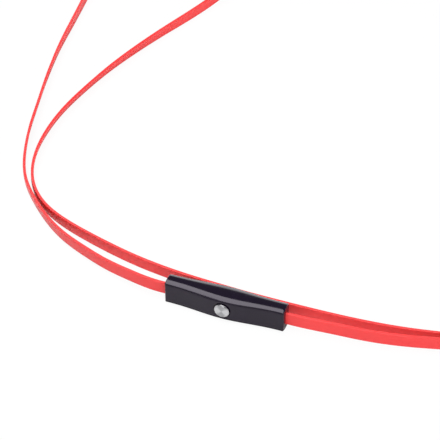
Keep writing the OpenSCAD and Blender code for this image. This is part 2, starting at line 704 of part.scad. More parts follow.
// A tie round the coil's bundle, on the side that faces side * Y
module cable_tie(side) {
    inner_r = coil_radius(coil_turns / 2) - ribbon_t / 2 - seat_gap;
    outer_r = coil_r + ribbon_t / 2 + seat_gap;
    inside = [tie_w + 2 * cut, outer_r - inner_r, coil_lift + layer_step + ribbon_w + seat_gap - tie_t];
    outside = [tie_w, inside[1] + 2 * tie_t, inside[2] + 2 * tie_t];
    middle_y = coil_at[1] + side * (inner_r + outer_r) / 2;
    color([0.12, 0.12, 0.12]) translate([coil_at[0] - tie_w / 2, middle_y, 0])
        difference() {
            translate([0, -outside[1] / 2, 0]) cube(outside);
            translate([-cut, -inside[1] / 2, tie_t]) cube(inside);
        }
}
module cable_tie_1() cable_tie(1);
module cable_tie_2() cable_tie(-1);

// ---- Splitter ----------------------------------------------------------------------------

// One half of the splitter, split on the plane between the two leads
module splitter_half(side) {
    r = splitter_r;
    wide = splitter_in_t / 2;
    slim = splitter_out_t / 2;
    color([0.08, 0.08, 0.09])
        translate([splitter_at[0], splitter_at[1], 0]) rotate([0, 0, splitter_turn]) difference() {
            intersection() {
                linear_extrude(splitter_h) polygon([
                    [0, 0], [0, side * (wide - r / 2)], [r / 2, side * wide], [splitter_l * 0.4, side * wide],
                    [splitter_l - r / 2, side * slim], [splitter_l, side * (slim - r / 2)], [splitter_l, 0]
                ]);
                translate([0, wide + cut, 0]) rotate([90, 0, 0]) linear_extrude(2 * (wide + cut)) union() {
                    translate([0, r]) square([splitter_l, splitter_h - 2 * r]);
                    translate([r, 0]) square([splitter_l - 2 * r, splitter_h]);
                    for (x = [r, splitter_l - r], z = [r, splitter_h - r]) translate([x, z]) circle(r);
                }
            }
            translate([0, side * lead_pitch / 2, splitter_h / 2]) cable_pocket();
            translate([splitter_l, 0, splitter_h / 2]) mirror([1, 0, 0]) cable_pocket();
        }
}
module splitter_front() splitter_half(-1);
module splitter_back() splitter_half(1);

// ---- Plug --------------------------------------------------------------------------------

// The plug's axis, level and pointing along +Z of what stands on it, with the pin's shoulder at 0
module at_pin() {
    translate([plug_at[0], plug_at[1], grip_d / 2]) rotate([0, 0, plug_turn])
        translate([boot_l + grip_l + collar_l, 0, 0]) rotate([0, 90, 0]) children();
}
module pin_piece(from, l) {
    at_pin() translate([0, 0, from]) cylinder(h = l, d = pin_d);
}
gold = [0.85, 0.7, 0.35];
pitch_l = contact_l + insulator_l;

module plug_boot() {
    color([0.12, 0.12, 0.12]) translate([plug_at[0], plug_at[1], grip_d / 2]) rotate([0, 0, plug_turn])
        strain_relief(boot_l, stem_h, stem_t);
}
module plug_grip() {
    r = grip_d / 2;
    color([0.08, 0.08, 0.09]) at_pin() translate([0, 0, -collar_l - grip_l]) rotate_extrude() polygon([
        [0, 0], [r - 0.6, 0], [r, 0.6], [r, grip_l - 0.4], [r - 0.4, grip_l], [0, grip_l]
    ]);
}
module plug_collar() {
    color([0.8, 0.8, 0.8]) at_pin() translate([0, 0, -collar_l]) cylinder(h = collar_l, d = grip_d - 1.6);
}
module plug_sleeve() color(gold) pin_piece(0, sleeve_l);
module plug_insulator_1() color([0.1, 0.1, 0.1]) pin_piece(sleeve_l, insulator_l);
module plug_ring_2() color(gold) pin_piece(sleeve_l + insulator_l, contact_l);
module plug_insulator_2() color([0.1, 0.1, 0.1]) pin_piece(sleeve_l + pitch_l, insulator_l);
module plug_ring_1() color(gold) pin_piece(sleeve_l + pitch_l + insulator_l, contact_l);
module plug_insulator_3() color([0.1, 0.1, 0.1]) pin_piece(sleeve_l + 2 * pitch_l, insulator_l);
module plug_tip() {
    r = pin_d / 2;
    color(gold) at_pin() translate([0, 0, sleeve_l + 2 * pitch_l + insulator_l]) rotate_extrude() polygon([
        [0, 0], [r, 0], [r, 0.7], [r - 0.5, 1.3], [r - 0.1, 1.9], [r - 0.3, pin_tip_l - 0.8],
        [r - 1.1, pin_tip_l], [0, pin_tip_l]
    ]);
}

remote_face_plate();
remote_back_shell();
remote_button();
button_disc();
switch_body();
switch_plunger();
circuit_board();
microphone();
left_ear_tip();
left_nozzle_mesh();
left_front_housing();
left_accent_ring();
left_rear_cap();
left_rear_disc();
left_driver_frame();
left_driver_magnet();
left_diaphragm();
left_strain_relief();
right_ear_tip();
right_nozzle_mesh();
right_front_housing();
right_accent_ring();
right_rear_cap();
right_rear_disc();
right_driver_frame();
right_driver_magnet();
right_diaphragm();
right_strain_relief();
left_lead();
right_lead_upper();
right_lead_lower();
main_cable();
main_cable_coil();
plug_lead();
cable_tie_1();
cable_tie_2();
splitter_front();
splitter_back();
plug_boot();
plug_grip();
plug_collar();
plug_sleeve();
plug_insulator_1();
plug_ring_2();
plug_insulator_2();
plug_ring_1();
plug_insulator_3();
plug_tip();
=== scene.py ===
"""Wired earphones: the fine pieces, materials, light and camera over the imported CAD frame.

Sizes and routes are in millimetres, as in the CAD source, and MM turns them into metres.
"""

import math

import bmesh
import bpy
import numpy as np
from mathutils import Matrix, Vector


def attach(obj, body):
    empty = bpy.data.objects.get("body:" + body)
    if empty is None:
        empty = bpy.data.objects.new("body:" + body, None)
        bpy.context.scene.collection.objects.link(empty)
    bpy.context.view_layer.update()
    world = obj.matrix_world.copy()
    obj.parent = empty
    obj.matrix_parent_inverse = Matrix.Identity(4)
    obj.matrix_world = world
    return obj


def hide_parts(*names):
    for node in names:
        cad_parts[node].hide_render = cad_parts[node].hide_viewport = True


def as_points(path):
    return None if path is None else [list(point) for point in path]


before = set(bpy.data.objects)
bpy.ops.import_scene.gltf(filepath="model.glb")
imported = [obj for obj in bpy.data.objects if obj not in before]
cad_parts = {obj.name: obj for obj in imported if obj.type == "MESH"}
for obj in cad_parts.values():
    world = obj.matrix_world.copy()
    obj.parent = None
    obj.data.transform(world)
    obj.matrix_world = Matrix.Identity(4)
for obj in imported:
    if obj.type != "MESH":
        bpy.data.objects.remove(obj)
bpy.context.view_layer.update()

MM = 0.001
ROOT = "earphones"

# ---- Sizes, nearly all as in the CAD source ----

RIBBON_W = 4.5
RIBBON_T = 1.0
RIBBON_EDGE_R = 0.24
POCKET_GAP = 0.05
POCKET_L = 2.8
POCKET_R = 0.25

REMOTE_L = 40.4
HALF = REMOTE_L / 2
REMOTE_H = 8.9
MIDDLE_Z = REMOTE_H / 2
END_FRONT = 1.65
END_BACK = 3.85
FRONT_BUMP = 1.4
BACK_BUMP = 1.1
BUMP_POWER = 2.5
CROWN_W = 2.4
CROWN_H = 0.65
LIP_H = 0.25
CROWN_DIP = 0.2
BACK_EDGE_H = 1.4
BACK_ROUND = 0.8
END_R = 0.4
LEAST_LIP = 0.05
PLATE_T = 1.2
PLATE_GAP = 0.1
MIC_X = 7.0
MIC_HOLE_R = 0.4
MIC_RIM_R = 0.84

BUTTON_D = 5.0
BUTTON_PROUD = 0.65
BUTTON_GAP = 0.3
BUTTON_DISC_T = 0.4
BUTTON_CHAMFER = 0.3
FLANGE_W = 0.7
FLANGE_T = 0.45
FLANGE_GAP = 0.08

BUD_R = 6.2
BUD_Z = 6.3
BUD_WALL = 0.9
CHAMBER_L = 4.5
SHOULDER_A = -5.0
NOZZLE_A = -11.5
NOZZLE_R = 2.4
NOZZLE_BORE_R = 1.6
LIP_OUT = 0.4
RING_L = 0.7
CAP_L = 3.7
DISC_D = 8.7
DISC_T = 0.25
TIP_D = 12.0
TIP_WALL = 0.5
TIP_AHEAD = 2.2
DOME_L = 4.8
DOME_WALL = 1.5
SLEEVE_T = 0.75
BOSS_L = 1.4
BOSS_MARGIN = 0.4
STEM_L = 9.4
STEM_H = 6.0
STEM_T = 2.8
STEM_TAPER = 0.6
STEM_A = CHAMBER_L / 2 - 0.4

SPLITTER_AT = (94.0, 16.4)
SPLITTER_TURN = 17.0
SPLITTER_L = 20.0
SPLITTER_H = 6.5
SPLITTER_IN_T = 4.8
SPLITTER_OUT_T = 3.6
SPLITTER_R = 1.0
SPLITTER_STRAIGHT = 8.0
PARTING_HALF = 0.015
LEAD_PITCH = 2.0

COIL_AT = (110.0, 56.0)
COIL_R = 26.2
COIL_PITCH = 1.8
COIL_TURNS = 5
LAYER_STEP = 5.1
COIL_LIFT = 1.1
COIL_STEPS = 24
CLIMB_FROM = 2.25
CLIMB_TURNS = 0.5
TIE_T = 0.8
TIE_W = 4.0
SEAT_GAP = 0.3

PLUG_AT = (140.0, 98.0)
PLUG_TURN = 84.0
GRIP_D = 7.2
GRIP_L = 18.0
COLLAR_L = 1.2
BOOT_L = 8.0
PIN_R = 1.75
PIN_TIP_L = 3.3
PIN_STRAIGHT = 10.7

# ---- Camera, first, because the cords are judged by what it sees ----

CAMERA_AT = (0.12888, -0.34636, 0.339)
CAMERA_DOWN = 39.06
CAMERA_TURN = 20.67
LENS = 127.6
SENSOR_W = 36


def add_object(name, data):
    obj = bpy.data.objects.new(name, data)
    bpy.context.scene.collection.objects.link(obj)
    return obj


def add_camera():
    data = bpy.data.cameras.new("camera")
    data.lens = LENS
    data.sensor_width = SENSOR_W
    camera = add_object("camera", data)
    camera.location = CAMERA_AT
    camera.rotation_euler = (math.radians(90 - CAMERA_DOWN), 0, math.radians(CAMERA_TURN))
    bpy.context.scene.camera = camera


add_camera()

# ---- Routes: (x, y, lift above the surface, lean of the upper edge to the left) ----

LEAD_Y = 0.8
LEAD_LIFT = (REMOTE_H - RIBBON_W) / 2
SPLITTER_LIFT = (SPLITTER_H - RIBBON_W) / 2
BUD_LIFT = BUD_Z - RIBBON_W / 2
PLUG_LIFT = (GRIP_D - RIBBON_W) / 2


def beside(at, turn, lift, along, across=0):
    """A route's point that lies along and across a heading from a place."""
    c = math.cos(math.radians(turn))
    s = math.sin(math.radians(turn))
    return (at[0] + along * c - across * s, at[1] + along * s + across * c, lift, 0)


def at_splitter(along, across=0):
    return beside(SPLITTER_AT, SPLITTER_TURN, SPLITTER_LIFT, along, across)


def splitter_end(across):
    """A lead's last two points, the second one in its pocket."""
    return [at_splitter(-RIBBON_W, across), at_splitter(POCKET_L, across)]


REMOTE_LEFT = [
    (-(HALF - POCKET_L), LEAD_Y, LEAD_LIFT, 0), (-(HALF + RIBBON_W), LEAD_Y, LEAD_LIFT, 0),
]
REMOTE_RIGHT = [(-x, y, lift, lean) for x, y, lift, lean in REMOTE_LEFT]

RIGHT_UPPER = REMOTE_LEFT + [
    (-34, 2.6, 1.9, 0.5), (-44, 5.8, 1.1, 2), (-54.2, 10, 0.7, 3.5), (-63.8, 14.9, 0.2, 6),
    (-73.1, 21.4, 0, 8.5), (-81.7, 29.3, 0, 8.5), (-89.3, 38.1, 0, 4.5), (-94.7, 47.3, 0, -4.5),
    (-99, 57.5, 0, -12.5), (-102.4, 67.5, 0, -16), (-105.3, 78, 0, -17), (-108.1, 88.5, 0, -17),
    (-110.8, 99, 0, -16), (-113.2, 109.4, 0, -15), (-115.4, 119.9, 0, -13.5),
    (-117.2, 130.5, 0, -11), (-118.8, 141, 0, -8), (-120.4, 151.5, 0.1, -6),
    (-121.8, 162, 0.7, -4), (-122.9, 172.5, 1.9, -2), (-123.6, 183, 3.2, 0),
    (-124, 191, BUD_LIFT, 0), (-124.2, 195.5, BUD_LIFT, 0),
]
RIGHT_LOWER = REMOTE_RIGHT + [
    (35, 1.5, 2.1, 0), (45, 2.3, 1.9, 0), (55.5, 4.1, 1.6, 0), (66, 6.9, 1.3, 0),
    (78, 10.5, 1.1, 0),
] + splitter_end(-LEAD_PITCH / 2)
LEFT = splitter_end(LEAD_PITCH / 2)[::-1] + [
    (79.5, 13.6, 0.5, -1.5), (69, 11.6, 0.2, -1.5), (58, 9.8, 0, -1), (47.5, 8.6, 0, -0.5),
    (37, 8, 0, 0), (26.5, 7.8, 0, 0.5), (16, 7.8, 0, 1), (5.5, 8, 0, 2), (-5, 8.5, 0, 3),
    (-15.5, 9.2, 0, 3.5), (-26, 10.4, 0, 3.5), (-36.5, 12.3, 0, 3), (-47, 15, 0, 3),
    (-57, 18.1, 0, 4.5), (-66.4, 21.6, 0, 6), (-75.4, 26.4, 0, 6.5), (-82.8, 33, 0, 5),
    (-88.5, 41.3, 0, -2), (-92.5, 50.8, 0, -13.5), (-94.8, 60.7, 0, -20), (-95.8, 71, 0, -22.5),
    (-95.8, 81.5, 0, -25), (-94.8, 92, 0, -26.5), (-93.2, 102.5, 0, -26.5),
    (-91.2, 113, 0, -24.5), (-88.6, 123.5, 0, -21.5), (-85.7, 133.5, 0, -18),
    (-82.5, 143.5, 0, -14.5), (-79, 153.5, 0, -10), (-75.5, 163.5, 0, -6),
    (-71.8, 173.5, 0.6, -3), (-68, 183.5, 2.2, -1), (-64.9, 192, BUD_LIFT, 0),
    (-63.4, 196.2, BUD_LIFT, 0),
]


def coil_route():
    """The wound length: inwards on the lower layer, outwards on the upper one."""
    x, y = COIL_AT
    rows = []
    for k in range(COIL_STEPS * COIL_TURNS + 1):
        turn = k / COIL_STEPS
        radius = COIL_R - COIL_PITCH * min(turn, COIL_TURNS - turn)
        rise = min(1, max(0, (turn - CLIMB_FROM) / CLIMB_TURNS))
        lift = COIL_LIFT + LAYER_STEP * (1 - math.cos(math.pi * rise)) / 2
        angle = 2 * math.pi * turn
        rows.append((x + radius * math.cos(angle), y + radius * math.sin(angle), lift, 0))
    return rows


COIL_SIDE = COIL_AT[0] + COIL_R
MAIN = [
    at_splitter(SPLITTER_L - POCKET_L), at_splitter(SPLITTER_L + RIBBON_W),
    (126.5, 28.5, 1, 0), (133.5, 37.5, 1.1, 0), (COIL_SIDE, 46.5, COIL_LIFT, 0),
    (COIL_SIDE, COIL_AT[1] - RIBBON_W, COIL_LIFT, 0),
] + coil_route() + [
    (COIL_SIDE, COIL_AT[1] + RIBBON_W, COIL_LIFT + LAYER_STEP, 0),
    (136.8, 70, 5.2, 0), (137.8, 81, 3.2, 0),
    beside(PLUG_AT, PLUG_TURN, PLUG_LIFT, -RIBBON_W), beside(PLUG_AT, PLUG_TURN, PLUG_LIFT, POCKET_L),
]


def middle(row):
    """Middle of the cable at a route's point: its lower edge stays at the stated lift."""
    x, y, lift, lean = row
    a = math.radians(lean)
    return (x, y, lift + RIBBON_W / 2 * math.cos(a) + RIBBON_T / 2 * abs(math.sin(a)), a)


def way_along(points):
    """The length from the first point to each of them."""
    return np.concatenate([[0], np.cumsum(np.linalg.norm(np.diff(points, axis=0), axis=1))])


def spline(points, step):
    """Even samples and tangents of a natural cubic spline through the points."""
    p = np.array(points, float)
    t = way_along(p[:, :3])
    n = len(p)
    h = np.diff(t)
    system = np.eye(n)
    right = np.zeros((n, p.shape[1]))
    for i in range(1, n - 1):
        system[i, i - 1:i + 2] = (h[i - 1], 2 * (h[i - 1] + h[i]), h[i])
        right[i] = 6 * ((p[i + 1] - p[i]) / h[i] - (p[i] - p[i - 1]) / h[i - 1])
    m = np.linalg.solve(system, right)
    at = np.linspace(0, t[-1], max(2, int(round(t[-1] / step)) + 1))
    i = np.clip(np.searchsorted(t, at, side="right") - 1, 0, n - 2)
    a = (t[i + 1] - at)[:, None]
    b = (at - t[i])[:, None]
    w = h[i][:, None]
    value = (m[i] * a**3 + m[i + 1] * b**3) / (6 * w)
    value += (p[i] / w - m[i] * w / 6) * a + (p[i + 1] / w - m[i + 1] * w / 6) * b
    slope = (m[i + 1] * b**2 - m[i] * a**2) / (2 * w)
    slope += (p[i + 1] - p[i]) / w - (m[i + 1] - m[i]) * w / 6
    return at, value, slope


# ---- Mesh helpers ----


def in_metres(point):
    return tuple(c * MM for c in point[:3])


def finish_mesh(bm, name, material, angle=32):
    """Turn a bmesh in millimetres into a smooth-shaded object in metres."""
    bmesh.ops.remove_doubles(bm, verts=bm.verts, dist=1e-5)
    bmesh.ops.recalc_face_normals(bm, faces=bm.faces)
    bmesh.ops.scale(bm, vec=(MM, MM, MM), verts=bm.verts)
    mesh = bpy.data.meshes.new(name)
    bm.to_mesh(mesh)
    bm.free()
    mesh.shade_smooth()
    mesh.set_sharp_from_angle(angle=math.radians(angle))
    mesh.materials.append(material)
    return add_object(name, mesh)


def shift(*way):
    return Matrix.Translation(way)


def spin(degrees, axis):
    return Matrix.Rotation(math.radians(degrees), 4, axis)


def quarter(step):
    """Angles from 0 to 90 degrees."""
    return [math.radians(a) for a in range(0, 91, step)]


def add_ring(bm, points, matrix=None):
    if matrix is None:
        return [bm.verts.new(p) for p in points]
    return [bm.verts.new(matrix @ Vector(p)) for p in points]


def at_x(x, shape):
    """A section's points, set at x."""
    return [(x, a, b) for a, b in shape]


def bridge(bm, a, b, closed=True):
    """Quads between two rings of equal size."""
    n = len(a)
    faces = []
    for k in range(n if closed else n - 1):
        j = (k + 1) % n
        faces.append(bm.faces.new((a[k], a[j], b[j], b[k])))
    return faces


def bridge_all(bm, rings, closed=True):
    """Quads between each ring and the next one."""
    for a, b in zip(rings, rings[1:]):
        bridge(bm, a, b, closed)


def loft(bm, rings, matrix=None, caps=True):
    verts = [add_ring(bm, r, matrix) for r in rings]
    bridge_all(bm, verts)
    if caps:
        bm.faces.new(verts[0])
        bm.faces.new(verts[-1])
    return verts


def rounded(points, radii, steps, closed=True, share=0.49):
    """A polygon with its corners rounded; radii is one number or one for each corner."""
    n = len(points)
    if not hasattr(radii, "__len__"):
        radii = [radii] * n
    out = []
    for i, (p, r) in enumerate(zip(points, radii)):
        p = Vector(p)
        if r <= 0 or (not closed and i in (0, n - 1)):
            out.append(tuple(p))
            continue
        before = Vector(points[i - 1]) - p
        after = Vector(points[(i + 1) % n]) - p
        half = before.angle(after) / 2
        reach = min(r / math.tan(half), before.length * share, after.length * share)
        radius = reach * math.tan(half)
        inwards = (before.normalized() + after.normalized()).normalized()
        centre = p + inwards * (radius / math.sin(half))
        first = p + before.normalized() * reach - centre
        last = p + after.normalized() * reach - centre
        for k in range(steps + 1):
            way = first.lerp(last, k / steps).normalized() * radius
            out.append(tuple(centre + way))
    return out


def rounded_each(points, steps, closed=False):
    """An outline of (radius, height, rounding) points with its corners rounded."""
    return rounded([p[:2] for p in points], [p[2] for p in points], steps, closed)


def rounded_rect(w, h, r, steps):
    """A rounded rectangle round the origin."""
    box = [(w / 2, -h / 2), (w / 2, h / 2), (-w / 2, h / 2), (-w / 2, -h / 2)]
    return rounded(box, r, steps)


def pocket_shape(steps):
    """Section of the pocket that a cable's end sits in."""
    return rounded_rect(RIBBON_T + 2 * POCKET_GAP, RIBBON_W + 2 * POCKET_GAP, POCKET_R, steps)


def revolve(bm, profile, matrix, closed, steps):
    """Turn a (radius, height) profile about Z and place it by a matrix."""
    rings = []
    for radius, height in profile:
        if radius < 1e-6:
            rings.append(add_ring(bm, [(0, 0, height)], matrix))
            continue
        turn = [2 * math.pi * k / steps for k in range(steps)]
        ring = [(radius * math.cos(a), radius * math.sin(a), height) for a in turn]
        rings.append(add_ring(bm, ring, matrix))
    if closed:
        rings.append(rings[0])
    for a, b in zip(rings, rings[1:]):
        if len(a) == 1:
            a, b = b, a
        if len(b) == 1:
            for k in range(steps):
                bm.faces.new((a[k], a[(k + 1) % steps], b[0]))
        else:
            bridge(bm, a, b)


def turned(name, profile, matrix, material, closed=False, steps=96, angle=32):
    bm = bmesh.new()
    revolve(bm, profile, matrix, closed, steps)
    return finish_mesh(bm, name, material, angle)


def place(piece, slot, *nodes, body=ROOT):
    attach(piece, body)
    if nodes:
        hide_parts(*nodes)
    return piece


# ---- Materials ----


def add_node(tree, kind, inputs=None, **settings):
    """A shader node; each input takes a value or another node's output."""
    node = tree.nodes.new("ShaderNode" + kind)
    for key, value in settings.items():
        setattr(node, key, value)
    for socket, source in (inputs or {}).items():
        if hasattr(source, "is_output"):
            tree.links.new(source, node.inputs[socket])
        else:
            node.inputs[socket].default_value = source
    return node


def add_math(tree, operation, *values):
    return add_node(tree, "Math", dict(enumerate(values)), operation=operation).outputs[0]


def add_ramp(tree, factor, stops):
    """A colour ramp between two (position, colour) stops."""
    node = add_node(tree, "ValToRGB", {"Fac": factor})
    for element, (position, color) in zip(node.color_ramp.elements, stops):
        element.position = position
        element.color = (*color, 1)
    return node.outputs["Color"]


class Finish:
    """A Principled material and short ways to add its nodes."""

    def __init__(self, name, color, rough, metallic=0.0, ior=1.5):
        self.material = bpy.data.materials.new(name)
        self.material.use_nodes = True
        self.tree = self.material.node_tree
        self.bsdf = self.tree.nodes["Principled BSDF"]
        self.set(Metallic=metallic, IOR=ior, Roughness=rough)
        self.bsdf.inputs["Base Color"].default_value = (*color, 1)
        coords = self.add("TexCoord")
        self.object_space = coords.outputs["Object"]
        self.uv = coords.outputs["UV"]

    def set(self, **values):
        for key, value in values.items():
            self.bsdf.inputs[key.replace("_", " ")].default_value = value

    def add(self, kind, inputs=None, **settings):
        return add_node(self.tree, kind, inputs, **settings)

    def noise(self, scale, detail=2.0, rough=0.5, stretch=None, where=None):
        vector = where or self.object_space
        if stretch:
            vector = self.add("Mapping", {"Vector": vector, "Scale": stretch}).outputs["Vector"]
        inputs = {"Vector": vector, "Scale": scale, "Detail": detail, "Roughness": rough}
        return self.add("TexNoise", inputs).outputs["Fac"]

    def spread(self, value, low, high, from_low=0.3, from_high=0.7):
        ends = {"From Min": from_low, "From Max": from_high, "To Min": low, "To Max": high}
        return self.add("MapRange", {"Value": value, **ends}).outputs["Result"]

    def colors(self, factor, *stops):
        self.to("Base Color", add_ramp(self.tree, factor, stops))

    def sum(self, a, b, weight=1.0):
        return add_math(self.tree, "ADD", a, add_math(self.tree, "MULTIPLY", b, weight))

    def bump(self, height, distance, strength=1.0):
        inputs = {"Height": height, "Distance": distance, "Strength": strength}
        self.to("Normal", self.add("Bump", inputs).outputs["Normal"])

    def to(self, socket, source):
        self.tree.links.new(source, self.bsdf.inputs[socket])


def polished_black():
    """Moulded black ABS with its polish, faint haze and a few hairline marks."""
    f = Finish("housing_gloss", (0.007, 0.004, 0.012), 0.1, ior=1.38)
    f.set(Specular_Tint=(0.96, 0.9, 1.0, 1))
    haze = f.noise(260, 3.0)
    grain = f.noise(9000)
    marks = f.noise(1400, 4.0, 0.6, stretch=(1, 1, 14))
    f.colors(haze, (0.3, (0.0048, 0.0026, 0.0086)), (0.75, (0.0064, 0.0036, 0.0112)))
    f.to("Roughness", f.sum(f.spread(haze, 0.07, 0.13), f.spread(marks, 0.0, 0.05)))
    f.bump(f.sum(grain, haze, 0.5), 0.0000012, 0.5)
    return f.material


def red_jacket():
    """Extruded elastomer: fine lengthwise lines, a soft skin and small colour drift."""
    f = Finish("cable_red", (0.71, 0.03, 0.031), 0.44, ior=1.48)
    lines = f.noise(1.0, 3.0, 0.6, stretch=(60, 9000, 1), where=f.uv)
    grain = f.noise(7000)
    drift = f.noise(55)
    f.colors(drift, (0.3, (0.69, 0.027, 0.028)), (0.7, (0.73, 0.033, 0.034)))
    f.to("Roughness", f.sum(f.spread(drift, 0.41, 0.47), f.spread(grain, -0.03, 0.03)))
    f.bump(f.sum(lines, grain, 0.6), 0.000006, 0.4)
    return f.material


def spun_metal(name, centre):
    """Turned aluminium: rings round the centre that stretch its reflections, and a fan-shaped painted
    highlight in its base colour.
    """
    f = Finish(name, (0.66, 0.66, 0.67), 0.42, metallic=1.0)
    f.set(Anisotropic=0.9)
    outwards = f.add("VectorMath", {0: f.object_space, 1: centre}, operation="SUBTRACT").outputs[0]
    heading = f.add("VectorMath", {0: outwards}, operation="NORMALIZE").outputs[0]
    f.to("Tangent", heading)
    turning = {"Scale": 5200.0, "Distortion": 1.5, "Detail": 2.0, "Detail Scale": 2.0}
    rings = f.add(
        "TexWave", {"Vector": outwards, **turning}, wave_type="RINGS", rings_direction="SPHERICAL"
    ).outputs["Fac"]
    wear = f.noise(900, 3.0)
    # Painted highlight: the base colour is lighter where the heading from the centre runs sideways and
    # darker above and below it, with a little wear mixed in.
    upward = f.add("SeparateXYZ", {"Vector": heading}).outputs["Z"]
    painted_sheen_by_angle = add_math(f.tree, "MULTIPLY", upward, upward)
    painted_sheen_and_wear = f.sum(f.spread(painted_sheen_by_angle, 0.85, 0.2, 0.2, 0.8), wear, 0.15)
    f.colors(painted_sheen_and_wear, (0.25, (0.36, 0.36, 0.37)), (0.9, (0.57, 0.57, 0.58)))
    f.to("Roughness", f.spread(rings, 0.38, 0.46, 0.0, 1.0))
    f.bump(rings, 0.000004, 0.35)
    return f.material


def plain_metal(name, color, rough):
    """Machined or plated metal with short tool lines and slight tarnish."""
    f = Finish(name, color, rough, metallic=1.0)
    tool = f.noise(2600, 3.0, 0.6, stretch=(1, 1, 12))
    tarnish = f.noise(420, 3.0)
    f.colors(tarnish, (0.35, tuple(c * 0.86 for c in color)), (0.65, color))
    f.to("Roughness", f.spread(tool, rough * 0.75, rough * 1.35))
    f.bump(tool, 0.000003, 0.4)
    return f.material


def soft_rubber(name, color, rough, grain_size=5200, sheen=0.0):
    """Moulded rubber or silicone: matt grain and a faint bloom."""
    f = Finish(name, color, rough, ior=1.45)
    f.set(Sheen_Weight=sheen, Sheen_Roughness=0.4)
    grain = f.noise(grain_size, 3.0, 0.6)
    bloom = f.noise(380, 3.0)
    f.colors(bloom, (0.35, color), (0.72, tuple(c * 1.45 for c in color)))
    skin = f.spread(bloom, rough - 0.05, rough + 0.05)
    f.to("Roughness", f.sum(skin, f.spread(grain, -0.04, 0.04)))
    f.bump(grain, 0.000014, 0.5)
    return f.material


def matt_plastic(name, color):
    """Moulded engineering plastic with spark-eroded grain."""
    f = Finish(name, color, 0.5)
    grain = f.noise(6500, 3.0, 0.6)
    tone = f.noise(500)
    f.colors(tone, (0.3, tuple(c * 0.85 for c in color)), (0.7, color))
    f.to("Roughness", f.spread(grain, 0.42, 0.58))
    f.bump(grain, 0.00001, 0.5)
    return f.material


def solder_mask():
    """Green board with tracks under the mask."""
    f = Finish("board", (0.02, 0.14, 0.06), 0.3)
    tones = {"Color1": (0.02, 0.15, 0.065, 1), "Color2": (0.022, 0.17, 0.07, 1)}
    tones["Mortar"] = (0.045, 0.24, 0.11, 1)
    tracks = f.add("TexBrick", {"Vector": f.object_space, "Scale": 700.0, "Mortar Size": 0.03, **tones})
    f.to("Base Color", tracks.outputs["Color"])
    f.to("Roughness", f.spread(f.noise(2500), 0.25, 0.36))
    f.bump(tracks.outputs["Fac"], 0.00001, 0.4)
    return f.material


def driver_film():
    """Amber film with the pressed ripples of a diaphragm."""
    f = Finish("film", (0.7, 0.55, 0.32), 0.25)
    ripples = f.noise(1800)
    f.colors(ripples, (0.3, (0.62, 0.47, 0.26)), (0.7, (0.74, 0.6, 0.37)))
    f.to("Roughness", f.spread(ripples, 0.2, 0.32))
    f.bump(ripples, 0.00001, 0.4)
    return f.material


GLOSS = polished_black()
RED = red_jacket()
RUBBER = soft_rubber("soft_black", (0.022, 0.022, 0.024), 0.55)
SILICONE = soft_rubber("silicone", (0.03, 0.03, 0.033), 0.42, 3800, sheen=0.15)
GOLD = plain_metal("contact_gold", (0.86, 0.64, 0.28), 0.18)
MESH_STEEL = plain_metal("steel_mesh", (0.6, 0.6, 0.62), 0.28)
SWITCH_STEEL = plain_metal("switch_metal", (0.66, 0.66, 0.67), 0.3)
NICKEL = plain_metal("magnet", (0.6, 0.6, 0.62), 0.15)
INNER = matt_plastic("inner_plastic", (0.05, 0.05, 0.05))
BOARD = solder_mask()
FILM = driver_film()

# ---- Cables ----

CABLE_STEP = 1.5


def flat_cable(name, route):
    """One flat cable along its route, with the line through its middle."""
    at, value, slope = spline([middle(row) for row in route], CABLE_STEP)
    section = rounded_rect(RIBBON_T, RIBBON_W, RIBBON_EDGE_R, 5)
    bm = bmesh.new()
    layer = bm.loops.layers.uv.new("along")
    rings = []
    for here, ahead in zip(value, slope):
        along = Vector(ahead[:3]).normalized()
        left = Vector((-along.y, along.x, 0)).normalized()
        up = along.cross(left)
        c = math.cos(here[3])
        s = math.sin(here[3])
        side = left * c - up * s
        edge = up * c + left * s
        ring = [Vector(here[:3]) + side * a + edge * b for a, b in section]
        rings.append(add_ring(bm, ring))
    around = way_along(section + section[:1])
    for i, (a, b) in enumerate(zip(rings, rings[1:])):
        for k, face in enumerate(bridge(bm, a, b)):
            corners = ((at[i], k), (at[i], k + 1), (at[i + 1], k + 1), (at[i + 1], k))
            for loop, (u, j) in zip(face.loops, corners):
                loop[layer].uv = (u * MM, around[j] * MM)
    bm.faces.new(rings[0])
    bm.faces.new(rings[-1])
    piece = finish_mesh(bm, name, RED, 50)
    path = [in_metres(p) for p in value]
    return piece, path


def cord_length(path):
    return sum((Vector(b) - Vector(a)).length for a, b in zip(path, path[1:]))


def add_lead(name, route, exit_at, node):
    piece, path = flat_cable(name, route)
    place(piece, "cable_red", node)
    cord_length(path)
    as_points(path)


add_lead("lead_right_upper", RIGHT_UPPER, in_metres((-HALF, LEAD_Y, MIDDLE_Z)), "right_lead_upper")
add_lead("lead_right_lower", RIGHT_LOWER, in_metres((HALF, LEAD_Y, MIDDLE_Z)), "right_lead_lower")
add_lead("lead_left", LEFT, in_metres(middle(LEFT[0])), "left_lead")


def add_main_cable():
    piece, path = flat_cable("cable_main", MAIN)
    place(piece, "cable_red", "main_cable", "main_cable_coil", "plug_lead")
    in_metres(middle(MAIN[0]))
    cord_length(path)
    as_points(path)


# ---- Remote ----

SHELL_WALL = 0.8
HOLLOW_HALF = 2.95
END_BLOCK_L = 3.6
EDGE_R = 0.3
FLANGE_R = BUTTON_D / 2 + FLANGE_W
PLATE_EDGE_R = 0.1
HOLE_EDGE_R = 0.08
HOLE_EDGE = ((0.03, 0.02), (0, HOLE_EDGE_R))
LEDGE_R = 0.05
HAIR = 0.02  # keeps faces from lying in each other
PATCH = 3.5  # half length of the face's part round the button's hole
CROWN_STEPS = 14
END_X = [HALF - END_R * (1 - math.sin(math.radians(a))) for a in range(15, 91, 15)]


def bump(x):
    return max(0.0, math.cos(math.radians(min(90.0, 180 * abs(x) / REMOTE_L)))) ** BUMP_POWER


